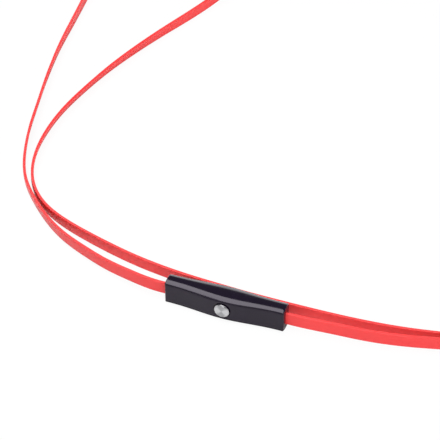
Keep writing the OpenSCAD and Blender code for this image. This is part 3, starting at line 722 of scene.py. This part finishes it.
def end_inset(x):
    """How far the rounding of an end draws the surface in at x."""
    over = min(END_R, abs(x) - (HALF - END_R))
    return END_R - math.sqrt(END_R * END_R - over * over) if over > 0 else 0.0


def front_y(x):
    return end_inset(x) - (END_FRONT + FRONT_BUMP * bump(x))


def back_y(x):
    return END_BACK + BACK_BUMP * bump(x) - end_inset(x)


def top_z(x):
    return REMOTE_H - end_inset(x) * (LIP_H - LEAST_LIP) / END_R


def face_low(x):
    return CROWN_H + LIP_H + CROWN_DIP * bump(x)


def hollow_half(x):
    """Half height of the hollow, wider where the button's flange moves."""
    room = FLANGE_R + FLANGE_GAP
    if abs(x) < room:
        return max(HOLLOW_HALF, math.sqrt(room * room - x * x))
    return HOLLOW_HALF


def housing_outline(x, hollow):
    """The shell's section at x as (y, z): the hollow, the lips, the crowns and the back."""
    top = top_z(x)
    lip = CROWN_H + CROWN_DIP * bump(x)
    front = front_y(x)
    back = back_y(x)
    seat = front + PLATE_T
    deep = back - SHELL_WALL if hollow else seat + HAIR
    inner = MIDDLE_Z + hollow_half(x)
    ledge = REMOTE_H - face_low(x)
    upper = [(deep, inner), (seat, inner), (seat, ledge), (front, ledge), (front, top - lip)]
    steps = [k / CROWN_STEPS for k in range(2, CROWN_STEPS + 1)]
    upper += [(front + CROWN_W * s, top - lip * (1 - s) ** 2) for s in steps]
    depth = BACK_ROUND * (back - front - CROWN_W)
    drop = BACK_EDGE_H
    upper += [(back - depth * (1 - math.sin(a)), top - drop * (1 - math.cos(a))) for a in quarter(5)]
    radii = [0, 0, 0, LEDGE_R, EDGE_R]
    radii += [0] * (len(upper) - len(radii))
    lower = [(y, REMOTE_H - z) for y, z in reversed(upper)]
    return rounded(upper + lower, radii + radii[::-1], 6, share=0.75)


def cap_with_pocket(bm, ring, x, inwards):
    """Close an end round the pocket that the cable sits in."""
    shape = [(LEAD_Y + a, MIDDLE_Z + b) for a, b in pocket_shape(4)]
    mouth = add_ring(bm, at_x(x, shape))
    floor = add_ring(bm, at_x(x + inwards * POCKET_L, shape))
    edges = [bm.edges.new((a, b)) for a, b in zip(mouth, mouth[1:] + mouth[:1])]
    edges += [bm.edges.get((a, b)) for a, b in zip(ring, ring[1:] + ring[:1])]
    bmesh.ops.triangle_fill(bm, use_beauty=True, edges=edges)
    bridge(bm, mouth, floor)
    bm.faces.new(floor)


def shell_rings():
    """Sections from the left end to the right one: end block, hollow, end block."""
    inner = HALF - END_BLOCK_L
    block = list(np.linspace(inner, HALF - END_R, 8)) + END_X
    between = np.linspace(-inner + HAIR / 2, inner - HAIR / 2, 91)
    stations = [(-x, False) for x in reversed(block)]
    stations += [(x, True) for x in between]
    stations += [(x, False) for x in block]
    return [at_x(x, housing_outline(x, hollow)) for x, hollow in stations]


def add_shell():
    bm = bmesh.new()
    verts = loft(bm, shell_rings(), caps=False)
    cap_with_pocket(bm, verts[0], -HALF, 1)
    cap_with_pocket(bm, verts[-1], HALF, -1)
    place(finish_mesh(bm, "remote_shell_fine", GLOSS, 28), "housing_gloss", "remote_back_shell")


def hole_patch(lift, edge, hole_r):
    """Rings of vertices from the patch's four sides to the round hole."""
    rings = []
    for t in (0, 0.3, 0.6, 0.85, 1):
        ring = []
        for x, z in edge:
            way = Vector((x, z - MIDDLE_Z)).normalized() * hole_r
            at = Vector((x, z)).lerp(Vector((way.x, MIDDLE_Z + way.y)), t)
            ring.append(lift(at.x, at.y))
        rings.append(ring)
    return rings


def plate_side(bm, depth, draw_in, hole_r):
    """One side of the face plate with its round hole; returns its outer edge and the hole's.

    Each vertex of the outer edge comes with the way in which the plate's rounding goes on.
    """

    def lift(x, z):
        return bm.verts.new((x, front_y(x) + depth, z))

    def low(x):
        return face_low(x) + PLATE_GAP + draw_in

    rows = 8
    right = list(np.linspace(PATCH, HALF - END_R, 33)) + END_X
    top = np.linspace(-PATCH, PATCH, 25)
    left = [-x for x in reversed(right)]

    def column(x):
        return [low(x) + (REMOTE_H - 2 * low(x)) * j / rows for j in range(rows + 1)]

    def grid(xs):
        cells = [[lift(x, z) for z in column(x)] for x in xs]
        bridge_all(bm, cells, closed=False)
        return cells

    first = grid(left)
    last = grid(right)
    edge = [(-PATCH, z) for z in column(-PATCH)[:-1]]
    edge += [(x, REMOTE_H - low(x)) for x in top[:-1]]
    edge += [(PATCH, z) for z in reversed(column(PATCH)[1:])]
    edge += [(x, low(x)) for x in reversed(top[1:])]
    rings = hole_patch(lift, edge, hole_r)
    bridge_all(bm, rings)
    patch = rings[0]
    upper = patch[rows:rows + len(top)]
    lower = [patch[0]] + patch[:-len(top):-1]
    outer = [(v, (0, -1)) for v in [c[0] for c in first[:-1]] + lower + [c[0] for c in last[1:]]]
    outer += [(v, (0, 0)) for v in last[-1][1:-1]]
    tops = [c[-1] for c in first[:-1]] + upper + [c[-1] for c in last[1:]]
    outer += [(v, (0, 1)) for v in reversed(tops)]
    outer += [(v, (0, 0)) for v in reversed(first[0][1:-1])]
    return outer, rings[-1]


def hole_wall(bm, ring, radius, depth):
    """The ring of the button's hole drawn to a radius and a depth under the face."""
    centre = Vector((0, 0, MIDDLE_Z))
    wall = []
    for v in ring:
        way = Vector((v.co.x, 0, v.co.z)) - centre
        at = centre + way.normalized() * radius
        wall.append(bm.verts.new((at.x, front_y(at.x) + depth, at.z)))
    return wall


def add_plate():
    bm = bmesh.new()
    hole = BUTTON_D / 2 + BUTTON_GAP
    front, front_hole = plate_side(bm, 0, PLATE_EDGE_R, hole + HOLE_EDGE_R)
    back, back_hole = plate_side(bm, PLATE_T - HAIR, 0, hole)
    rings = [[v for v, way in front]]
    for a in (30, 60, 90):
        s = math.sin(math.radians(a)) * PLATE_EDGE_R
        c = (1 - math.cos(math.radians(a))) * PLATE_EDGE_R
        rings.append([bm.verts.new(v.co + Vector((dx * s, c, dz * s))) for v, (dx, dz) in front])
    rings.append([v for v, way in back])
    bridge_all(bm, rings)
    edge = [hole_wall(bm, front_hole, hole + out, depth) for out, depth in HOLE_EDGE]
    bridge_all(bm, [front_hole, *edge, back_hole])
    place(finish_mesh(bm, "remote_face_fine", GLOSS, 28), "housing_gloss", "remote_face_plate")


ON_FACE = shift(0, front_y(0), MIDDLE_Z) @ spin(90, "X")
BUTTON_STEM_R = 1.0
BUTTON_STEM_END = -2.06


def add_button():
    """The black button on its flange, and the metal disc on its top."""
    r = BUTTON_D / 2
    top = BUTTON_PROUD
    low = top - BUTTON_DISC_T
    seat = -(PLATE_T + front_y(FLANGE_R) - front_y(0) + POCKET_GAP)
    under = seat - FLANGE_T
    stem = BUTTON_STEM_R
    points = [
        (0, low, 0), (r, low, 0.04), (r, seat, 0), (FLANGE_R, seat, 0.08), (FLANGE_R, under, 0.08),
        (stem, under, 0), (stem, BUTTON_STEM_END, 0.1), (0, BUTTON_STEM_END, 0),
    ]
    body = turned("button_fine", rounded_each(points, 4), ON_FACE, GLOSS, angle=40)
    place(body, "housing_gloss", "remote_button", body="button")
    cut = BUTTON_CHAMFER
    points = [(0, low, 0), (r, low, 0.02), (r, top - cut, 0.06), (r - cut, top, 0.04), (0, top, 0)]
    metal = spun_metal("spun_aluminium", in_metres((0, front_y(0) - top, MIDDLE_Z)))
    disc = turned("button_disc_fine", rounded_each(points, 4), ON_FACE, metal)
    place(disc, "spun_aluminium", "button_disc", body="button")


def add_mic_port():
    """A small plain bezel round the microphone's sound hole in the back."""
    at = shift(MIC_X, back_y(MIC_X), MIDDLE_Z) @ spin(-90, "X")
    hole = MIC_HOLE_R
    rim = MIC_RIM_R
    profile = [(hole, -0.5), (hole, 0.02), (hole + 0.1, 0.06), (rim - 0.06, 0.06), (rim, -0.2)]
    bezel = turned("mic_bezel", rounded(profile, 0.03, 3, closed=False), at, INNER, steps=48)
    place(bezel, "inner_plastic")
    felt = turned("mic_felt", [(0, -0.22), (0.25, -0.24), (hole + 0.01, -0.3)], at, RUBBER, steps=32)
    place(felt, "soft_black")


add_shell()
add_plate()
add_button()
add_mic_port()

# ---- Strain reliefs ----

RELIEF_MOUTH_L = 0.3
RELIEF_GROOVES = 3
RELIEF_GROOVE_PITCH = 1.2
RELIEF_GROOVE_CUT = 0.28


def relief_rings(length):
    """Sections of a tapered strain relief along X, with flexing grooves on each side."""
    stations = [(0, 0.35), (0.08, 0.16), (RELIEF_MOUTH_L, 0.0), (POCKET_L + 0.3, 0.0)]
    cut = RELIEF_GROOVE_CUT
    for k in range(RELIEF_GROOVES):
        start = POCKET_L + 0.6 + RELIEF_GROOVE_PITCH * k
        stations += [(start - 0.06, 0), (start + 0.06, cut), (start + 0.44, cut), (start + 0.56, 0)]
    stations += [(length - 0.1, 0), (length, 0.04)]
    rings = []
    for x, cut in stations:
        t = STEM_T - STEM_TAPER * (1 - x / length) - 2 * cut
        h = STEM_H - STEM_TAPER * (1 - x / length)
        if x < RELIEF_MOUTH_L:
            h -= 2 * cut
        rings.append(at_x(x, rounded_rect(t, h, min(0.8, t * 0.42), 6)))
    return rings


def add_relief(name, matrix, length, node):
    bm = bmesh.new()
    rings = loft(bm, relief_rings(length), matrix, caps=False)
    bm.faces.new(rings[-1])
    shape = pocket_shape(6)
    mouth = add_ring(bm, at_x(0, shape), matrix)
    floor = add_ring(bm, at_x(POCKET_L, shape), matrix)
    bridge_all(bm, [rings[0], mouth, floor])
    bm.faces.new(floor)
    return place(finish_mesh(bm, name, RUBBER, 40), "soft_black", node)


# ---- Earphones ----

CHAMBER_R = BUD_R - BUD_WALL
RING_A = CHAMBER_L
CAP_A = RING_A + RING_L
REAR_A = CAP_A + CAP_L
TUBE_LIP_R = NOZZLE_R + LIP_OUT
SLEEVE_R = TUBE_LIP_R + 0.05
DISC_SEAT_A = REAR_A - 0.2
ACCENT_R = BUD_R + 0.1
FINE_GROOVE = 0.06
GUARD_R = NOZZLE_BORE_R + 0.25
GUARD_A = NOZZLE_A + 0.13
WIRE_PITCH = 0.26
WIRE_R = 0.045
WIRE_WAVE = 0.05
RIM_W = 0.3
RIM_HALF_L = 0.1


def bud_matrix(route, flip):
    """Where the CAD stands an earphone at the end of a lead."""
    end = route[-1]
    before = route[-2]
    turn = math.atan2(end[1] - before[1], end[0] - before[0])
    m = shift(end[0], end[1], BUD_Z) @ Matrix.Rotation(turn - math.pi / 2, 4, "Z")
    m = m @ shift(0, STEM_L - POCKET_L + BOSS_L + BUD_R, 0)
    if flip < 0:
        m = m @ Matrix.Scale(-1, 4, (1, 0, 0))
    return m @ shift(-STEM_A, 0, 0) @ spin(90, "Y")


def stem_matrix(bud):
    """Where a strain relief starts, on the lead's side of its earphone."""
    out = shift(STEM_A, -(BUD_R + BOSS_L + STEM_L), 0)
    return bud @ spin(-90, "Y") @ out @ spin(90, "Z")


def front_profile():
    """Closed outline of the front housing: bore, driver chamber, shoulder and sound tube."""
    r = BUD_R
    s = SHOULDER_A
    n = NOZZLE_A
    bore = NOZZLE_BORE_R
    points = [
        (bore + 0.25, n, 0.05), (bore + 0.25, n + 0.25, 0), (bore, n + 0.25, 0), (bore, s + 1.2, 0.5),
        (CHAMBER_R - 0.6, 0, 0), (CHAMBER_R, 0, 0), (CHAMBER_R, CHAMBER_L, 0.04), (r, CHAMBER_L, 0.1),
        (r, s + 3.2, 3.0), (r - 1.1, s + 0.6, 1.6), (NOZZLE_R + 0.9, s, 0.8), (NOZZLE_R, s - 0.7, 0.6),
        (NOZZLE_R, n + 2, 0.15), (TUBE_LIP_R, n + 1.8, 0.15), (TUBE_LIP_R, n + 1, 0.4),
        (NOZZLE_R, n + 0.4, 0.3), (NOZZLE_R - 0.1, n, 0.1),
    ]
    return rounded_each(points, 7, closed=True)


def cap_profile():
    """Outline of the rear cap, crowned towards its metal disc."""
    spigot = CHAMBER_R - POCKET_GAP
    seat = DISC_D / 2 + POCKET_GAP
    inner = spigot - 0.65
    points = [
        (0, REAR_A - 1.1, 0), (inner, REAR_A - 1.1, 0), (inner, RING_A - 1, 0), (spigot, RING_A - 1, 0),
        (spigot, CAP_A, 0), (BUD_R, CAP_A, 0.1), (BUD_R, REAR_A - 0.9, 1.3), (BUD_R - 0.9, REAR_A, 0.9),
        (seat, REAR_A, 0.08), (seat, DISC_SEAT_A, 0), (0, DISC_SEAT_A, 0),
    ]
    return rounded_each(points, 7)


def tip_profile():
    """Closed outline of the silicone ear tip: dome, skirt and sleeve."""
    r = TIP_D / 2
    front = NOZZLE_A - TIP_AHEAD
    dome = DOME_L
    hole = NOZZLE_BORE_R + 0.5
    out = SLEEVE_R + SLEEVE_T
    rear = SHOULDER_A - 1.3
    points = [(hole + (r - hole) * math.sin(a), front + dome * (1 - math.cos(a))) for a in quarter(6)]
    points += [(r - 0.03, rear - 1.1), (r - 0.12, rear - 0.84), (r - 0.35, rear - 0.8)]
    points += [(r - 0.55, rear - 0.9), (r - 0.1 - TIP_WALL, rear - 1.2)]
    inner = r - TIP_WALL
    rise = dome - DOME_WALL
    back = [math.radians(a) for a in range(90, 5, -6)]
    points += [(out + (inner - out) * math.sin(a), front + dome - rise * math.cos(a)) for a in back]
    points += [(out, front + DOME_WALL), (out, rear - 0.12), (out - 0.12, rear), (SLEEVE_R + 0.1, rear)]
    points += [(SLEEVE_R, rear - 0.1), (SLEEVE_R, NOZZLE_A - SEAT_GAP), (hole, NOZZLE_A - SEAT_GAP)]
    return points


def wire_rings(k, turn):
    """Sections of one woven wire; those with turn 1 run across those with turn 0."""
    across = k * WIRE_PITCH
    reach = math.sqrt(GUARD_R * GUARD_R - across * across) * 0.97
    rings = []
    for along in np.linspace(-reach, reach, 33):
        wave = WIRE_WAVE * math.cos(math.pi * (along / WIRE_PITCH + k + turn))
        ring = []
        for c in range(6):
            a = math.pi * c / 3
            side = across + WIRE_R * math.cos(a)
            height = GUARD_A + wave + WIRE_R * math.sin(a)
            ring.append((side, along, height) if turn else (along, side, height))
        rings.append(ring)
    return rings


def add_mesh_guard(side, bud):
    """Woven wires across the sound tube, held by a flat rim."""
    bm = bmesh.new()
    count = int(GUARD_R / WIRE_PITCH)
    for turn in (0, 1):
        for k in range(-count, count + 1):
            loft(bm, wire_rings(k, turn), bud)
    low = GUARD_A - RIM_HALF_L
    high = GUARD_A + RIM_HALF_L
    rim = [(GUARD_R - RIM_W, low), (GUARD_R, low), (GUARD_R, high), (GUARD_R - RIM_W, high)]
    revolve(bm, rounded(rim, 0.05, 2), bud, closed=True, steps=64)
    place(finish_mesh(bm, side + "_guard_fine", MESH_STEEL, 60), "steel_mesh", side + "_nozzle_mesh")


def add_ring_piece(side, bud, metal):
    """The metal ring between housing and cap, with a fine groove round it."""
    r = ACCENT_R
    low = r - FINE_GROOVE
    a = RING_A
    points = [
        (CHAMBER_R, a, 0), (r, a, 0.1), (r, a + 0.25, 0.03), (low, a + 0.31, 0.02),
        (low, a + 0.39, 0.02), (r, a + 0.45, 0.03), (r, a + RING_L, 0.1), (CHAMBER_R, a + RING_L, 0),
    ]
    profile = rounded_each(points, 4, closed=True)
    piece = turned(side + "_ring_fine", profile, bud, metal, closed=True, steps=128)
    place(piece, "spun_aluminium", side + "_accent_ring")


def add_disc(side, bud, metal):
    """The rear cap's metal disc, with a fine groove near its edge."""
    r = DISC_D / 2
    high = DISC_SEAT_A + DISC_T
    low = high - FINE_GROOVE
    points = [
        (0, DISC_SEAT_A, 0), (r, DISC_SEAT_A, 0), (r, high, 0.08), (r * 0.82, high, 0.03),
        (r * 0.8, low, 0.03), (r * 0.77, low, 0.03), (r * 0.75, high, 0.03), (0, high, 0),
    ]
    piece = turned(side + "_disc_fine", rounded_each(points, 3), bud, metal, steps=128)
    place(piece, "spun_aluminium", side + "_rear_disc")


def add_boss(bm, stem):
    """The short neck between the body and its strain relief."""
    rings = []
    length = BOSS_L + BUD_WALL + 1
    for x, cut in ((0, 0.2), (0.06, 0.07), (0.2, 0), (length, 0)):
        wider = BOSS_MARGIN - 2 * cut
        rings.append(at_x(STEM_L + x, rounded_rect(STEM_T + wider, STEM_H + wider, 1.1, 7)))
    loft(bm, rings, stem)


def add_bud(side, route, flip):
    bud = bud_matrix(route, flip)
    stem = stem_matrix(bud)
    metal = spun_metal("spun_" + side, in_metres(bud @ Vector((0, 0, REAR_A))))
    bm = bmesh.new()
    revolve(bm, front_profile(), bud, closed=True, steps=128)
    add_boss(bm, stem)
    body = finish_mesh(bm, side + "_housing_fine", GLOSS, 30)
    place(body, "housing_gloss", side + "_front_housing")
    add_ring_piece(side, bud, metal)
    cap = turned(side + "_cap_fine", cap_profile(), bud, GLOSS, steps=128)
    place(cap, "housing_gloss", side + "_rear_cap")
    add_disc(side, bud, metal)
    tip = turned(side + "_tip_fine", tip_profile(), bud, SILICONE, closed=True, angle=60)
    place(tip, "silicone", side + "_ear_tip", body=side + "_tip")
    add_mesh_guard(side, bud)
    add_relief(side + "_relief_fine", stem, STEM_L, side + "_strain_relief")


add_bud("left", LEFT, 1)
add_bud("right", RIGHT_UPPER, -1)

# ---- Splitter ----


def splitter_half(side):
    """Sections along the splitter of the half on one side of its parting line."""
    r = SPLITTER_R
    length = SPLITTER_L
    gap = PARTING_HALF
    near = [(r * (1 - math.cos(a)), r * (1 - math.sin(a))) for a in quarter(15)]
    stations = near + [(length * k / 12, 0) for k in range(1, 12)]
    stations += [(length - x, e) for x, e in reversed(near)]
    rings = []
    for x, e in stations:
        thick = np.interp(x, [SPLITTER_STRAIGHT, length], [SPLITTER_IN_T, SPLITTER_OUT_T])
        t = thick / 2 - 0.55 * e
        shape = [(gap, e), (t, e), (t, SPLITTER_H - e), (gap, SPLITTER_H - e)]
        shape = rounded(shape, [0.12, 0.9, 0.9, 0.12], 6)
        rings.append([(x, side * a, b) for a, b in shape])
    return rings


def add_splitter():
    at = shift(*SPLITTER_AT, 0) @ spin(SPLITTER_TURN, "Z")
    pieces = []
    for side, node in ((-1, "splitter_front"), (1, "splitter_back")):
        bm = bmesh.new()
        loft(bm, splitter_half(side), at)
        pieces.append(place(finish_mesh(bm, node + "_fine", GLOSS, 40), "housing_gloss", node))
    return pieces


SPLITTER_PIECES = add_splitter()

# ---- Ties ----

TAB_HALF_L = 2.6
TAB_T = 0.5
TAB_SINK = 0.05


def strap_rings(bm, strap, middle_y, middle_z):
    """The strap's flat section, set square on its way round the coil."""
    edge = rounded_rect(TIE_W, TIE_T * 0.94, 0.3, 4)
    n = len(strap)
    rings = []
    for k in range(n):
        way = Vector(strap[(k + 1) % n]) - Vector(strap[k - 1])
        out = Vector((way.y, -way.x)).normalized()
        ring = []
        for a, b in edge:
            p = Vector(strap[k]) + out * b
            ring.append((COIL_AT[0] + a, middle_y + p.x, middle_z + p.y))
        rings.append(add_ring(bm, ring))
    return rings


def tab_rings(middle_y, middle_z):
    """The strap's end, folded flat on top of the coil."""
    end = TAB_HALF_L
    stations = [(-end, 0.3), (-end + 0.1, 0.08), (-end + 0.35, 0), (end - 0.4, 0), (end, 0.22)]
    rings = []
    for y, cut in stations:
        shape = rounded_rect(TIE_W - 2 * cut, TAB_T, 0.2, 4)
        rings.append([(COIL_AT[0] + a, middle_y + y, middle_z + b) for a, b in shape])
    return rings


def add_tie(side, node):
    """A soft strap round the coil's bundle, with its end folded over."""
    inner_r = COIL_R - COIL_PITCH * COIL_TURNS / 2 - RIBBON_T / 2 - SEAT_GAP
    outer_r = COIL_R + RIBBON_T / 2 + SEAT_GAP
    wide = outer_r - inner_r + 2 * TIE_T
    tall = COIL_LIFT + LAYER_STEP + RIBBON_W + SEAT_GAP + TIE_T
    middle_y = COIL_AT[1] + side * (inner_r + outer_r) / 2
    bm = bmesh.new()
    strap = rounded_rect(wide - TIE_T, tall - TIE_T, 1.6, 8)
    rings = strap_rings(bm, strap, middle_y, tall / 2)
    bridge_all(bm, rings + rings[:1])
    loft(bm, tab_rings(middle_y, tall - TAB_SINK + TAB_T / 2))
    return place(finish_mesh(bm, node + "_fine", RUBBER, 45), "soft_black", node)


TIE_PIECES = [add_tie(1, "cable_tie_1"), add_tie(-1, "cable_tie_2")]

# ---- Plug ----

AT_BOOT = shift(*PLUG_AT, GRIP_D / 2) @ spin(PLUG_TURN, "Z")
SHOULDER = BOOT_L + GRIP_L + COLLAR_L
AT_PIN = AT_BOOT @ shift(SHOULDER, 0, 0) @ spin(90, "Y")

# Along the pin from its shoulder: where a contact starts, and its length.
CONTACTS = {"plug_sleeve": (0, 5.2), "plug_ring_2": (5.7, 2.0), "plug_ring_1": (8.2, 2.0)}
CONTACT_EDGE_R = 0.06
GRIP_GROOVES = 6
GRIP_GROOVE_FROM = 9
GRIP_GROOVE_PITCH = 1.1
GRIP_GROOVE_CUT = 0.16


def on_pin(node, points, corner, material, slot, steps=96):
    """A turned piece of the plug from its (radius, height, rounding) outline."""
    piece = turned(node + "_fine", rounded_each(points, corner), AT_PIN, material, steps=steps)
    return place(piece, slot, node)


def add_contact(node, start, length):
    end = start + length
    edge = CONTACT_EDGE_R
    points = [(0, start, 0), (PIN_R, start, edge), (PIN_R, end, edge), (0, end, 0)]
    return on_pin(node, points, 3, GOLD, "contact_gold", 72)


def add_grip():
    r = GRIP_D / 2
    low = r - GRIP_GROOVE_CUT
    start = -COLLAR_L - GRIP_L
    points = [(0, start, 0), (r - 0.6, start, 0.3), (r, start + 0.7, 0.6)]
    for k in range(GRIP_GROOVES):
        z = start + GRIP_GROOVE_FROM + GRIP_GROOVE_PITCH * k
        points += [(r, z, 0.08), (low, z + 0.16, 0.08), (low, z + 0.34, 0.08), (r, z + 0.5, 0.08)]
    points += [(r, -COLLAR_L - 0.4, 0.3), (r - 0.4, -COLLAR_L, 0.1), (0, -COLLAR_L, 0)]
    return on_pin("plug_grip", points, 4, GLOSS, "housing_gloss")


def add_collar():
    r = GRIP_D / 2 - 0.8
    points = [(0, -COLLAR_L, 0), (r, -COLLAR_L, 0), (r, -0.25, 0.12), (r - 0.6, 0, 0.2), (0, 0, 0)]
    metal = spun_metal("spun_plug", in_metres(AT_PIN.translation))
    return on_pin("plug_collar", points, 4, metal, "spun_aluminium")


def add_pin_tip():
    z = PIN_STRAIGHT
    points = [
        (0, z, 0), (PIN_R, z, 0.05), (PIN_R, z + 0.7, 0.6), (PIN_R - 0.5, z + 1.3, 0.3),
        (PIN_R - 0.1, z + 1.95, 0.6), (PIN_R - 0.35, z + 2.6, 1.2), (0.55, z + PIN_TIP_L, 1.2),
        (0, z + PIN_TIP_L, 0),
    ]
    return on_pin("plug_tip", points, 9, GOLD, "contact_gold", 72)


def add_plug():
    pieces = [add_relief("plug_boot_fine", AT_BOOT, BOOT_L, "plug_boot"), add_grip(), add_collar()]
    pieces += [add_contact(node, start, length) for node, (start, length) in CONTACTS.items()]
    return pieces + [add_pin_tip()]


PLUG_PIECES = add_plug()

# ---- Finishes of the CAD pieces that stay ----


def finish_nodes(material, *names):
    for name in names:
        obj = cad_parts[name]
        if obj.material_slots:
            obj.material_slots[0].material = material
        else:
            obj.data.materials.append(material)


INSULATORS = ["plug_insulator_1", "plug_insulator_2", "plug_insulator_3"]
finish_nodes(SWITCH_STEEL, "switch_body", "microphone")
finish_nodes(INNER, "switch_plunger", *INSULATORS)
finish_nodes(BOARD, "circuit_board")
finish_nodes(MESH_STEEL, "left_driver_frame", "right_driver_frame")
finish_nodes(NICKEL, "left_driver_magnet", "right_driver_magnet")
finish_nodes(FILM, "left_diaphragm", "right_diaphragm")

add_main_cable()

# ---- Light and floor ----

FLOOR_HALF = 3.0
FLOOR_DROP = 0.0001
FLOOR_PAPER = (0.74, 0.74, 0.74, 1)
FLOOR_WHITE = 0.94
FLOOR_MIRRORED_WHITE = 0.05
SKY = [(0.05, (0.95, 0.95, 0.95)), (0.5, (0.08, 0.08, 0.085))]
SKY_MIRRORED_WHITE = 0.15
WALL_LIGHT = (2.8, 2.8, 2.8, 1)
WALL_AHEAD = (0.1, 0.4)
WALL_HEIGHT = (0.4, 0.34)


def light_paths(tree):
    """Whether a ray is a mirrored one, and whether the camera sees what it meets."""
    rays = add_node(tree, "LightPath").outputs
    seen = add_math(tree, "MAXIMUM", rays["Is Camera Ray"], rays["Is Transmission Ray"])
    return rays["Is Glossy Ray"], seen


def add_floor():
    """A white floor that still takes the object's shadow."""
    mesh = bpy.data.meshes.new("floor")
    s = FLOOR_HALF
    mesh.from_pydata([(-s, -s, 0), (s, -s, 0), (s, s, 0), (-s, s, 0)], [], [(0, 1, 2, 3)])
    floor = add_object("floor", mesh)
    floor.location.z = -FLOOR_DROP
    material = bpy.data.materials.new("floor")
    material.use_nodes = True
    tree = material.node_tree
    tree.nodes.remove(tree.nodes["Principled BSDF"])
    paper = add_node(tree, "BsdfDiffuse", {"Color": FLOOR_PAPER}).outputs[0]
    white = add_node(tree, "Emission").outputs[0]
    mirrored, seen = light_paths(tree)
    share = add_math(tree, "MULTIPLY", seen, FLOOR_WHITE)
    share = add_math(tree, "MULTIPLY_ADD", mirrored, FLOOR_MIRRORED_WHITE, share)
    mix = add_node(tree, "MixShader", {"Fac": share, 1: paper, 2: white})
    tree.links.new(mix.outputs[0], tree.nodes["Material Output"].inputs["Surface"])
    mesh.materials.append(material)


def wall_share(tree, direction, height, mirrored):
    """The share of a lit wall, low behind the object, in what a polished surface mirrors."""
    turn = math.radians(CAMERA_TURN)
    away = (-math.sin(turn), math.cos(turn), 0)
    ahead = add_node(tree, "VectorMath", {0: direction, 1: away}, operation="DOT_PRODUCT")
    share = mirrored
    for source, (nothing, full) in ((ahead.outputs["Value"], WALL_AHEAD), (height, WALL_HEIGHT)):
        reach = add_node(tree, "MapRange", {"Value": source, "From Min": nothing, "From Max": full})
        share = add_math(tree, "MULTIPLY", share, reach.outputs["Result"])
    return share


def add_world():
    """White behind everything, darker above, so that level surfaces stay deep."""
    world = bpy.data.worlds.new("studio")
    bpy.context.scene.world = world
    world.use_nodes = True
    tree = world.node_tree
    direction = add_node(tree, "TexCoord").outputs["Generated"]
    height = add_node(tree, "SeparateXYZ", {0: direction}).outputs["Z"]
    sky = add_ramp(tree, height, SKY)
    mirrored, seen = light_paths(tree)
    share = add_math(tree, "MULTIPLY_ADD", mirrored, SKY_MIRRORED_WHITE, seen)
    whitened = add_node(tree, "MixRGB", {"Fac": share, "Color1": sky, "Color2": (1, 1, 1, 1)})
    wall = wall_share(tree, direction, height, mirrored)
    mix = {"Fac": wall, "Color1": whitened.outputs["Color"], "Color2": WALL_LIGHT}
    lit = add_node(tree, "MixRGB", mix).outputs["Color"]
    tree.links.new(lit, tree.nodes["Background"].inputs["Color"])


def softbox(name, ahead, height, size, radiance, seen=True, tilt=0.0, turn=CAMERA_TURN):
    """An area lamp that faces the object; radiance 1 is as bright as white."""
    data = bpy.data.lights.new(name, "AREA")
    data.shape = "RECTANGLE"
    data.size = size[0]
    data.size_y = size[1]
    data.energy = radiance * math.pi * size[0] * size[1]
    lamp = add_object(name, data)
    a = math.radians(turn)
    lamp.location = (-math.sin(a) * ahead, math.cos(a) * ahead, height)
    lamp.rotation_euler = (math.radians(tilt), 0, a)
    lamp.visible_glossy = seen


def add_lights():
    softbox("overhead", ahead=-0.225, height=1.0, size=(1.7, 0.55), radiance=6.4, turn=-47)
    softbox(
        "side_fill", ahead=-1.3, height=0.5, size=(2.0, 0.9), radiance=2.2, seen=False, tilt=70, turn=75,
    )
    softbox("front_fill", ahead=-0.8, height=1.1, size=(2.0, 0.8), radiance=0.5, seen=False, tilt=36)


add_floor()
add_world()
add_lights()

bpy.context.scene.view_settings.view_transform = "Standard"
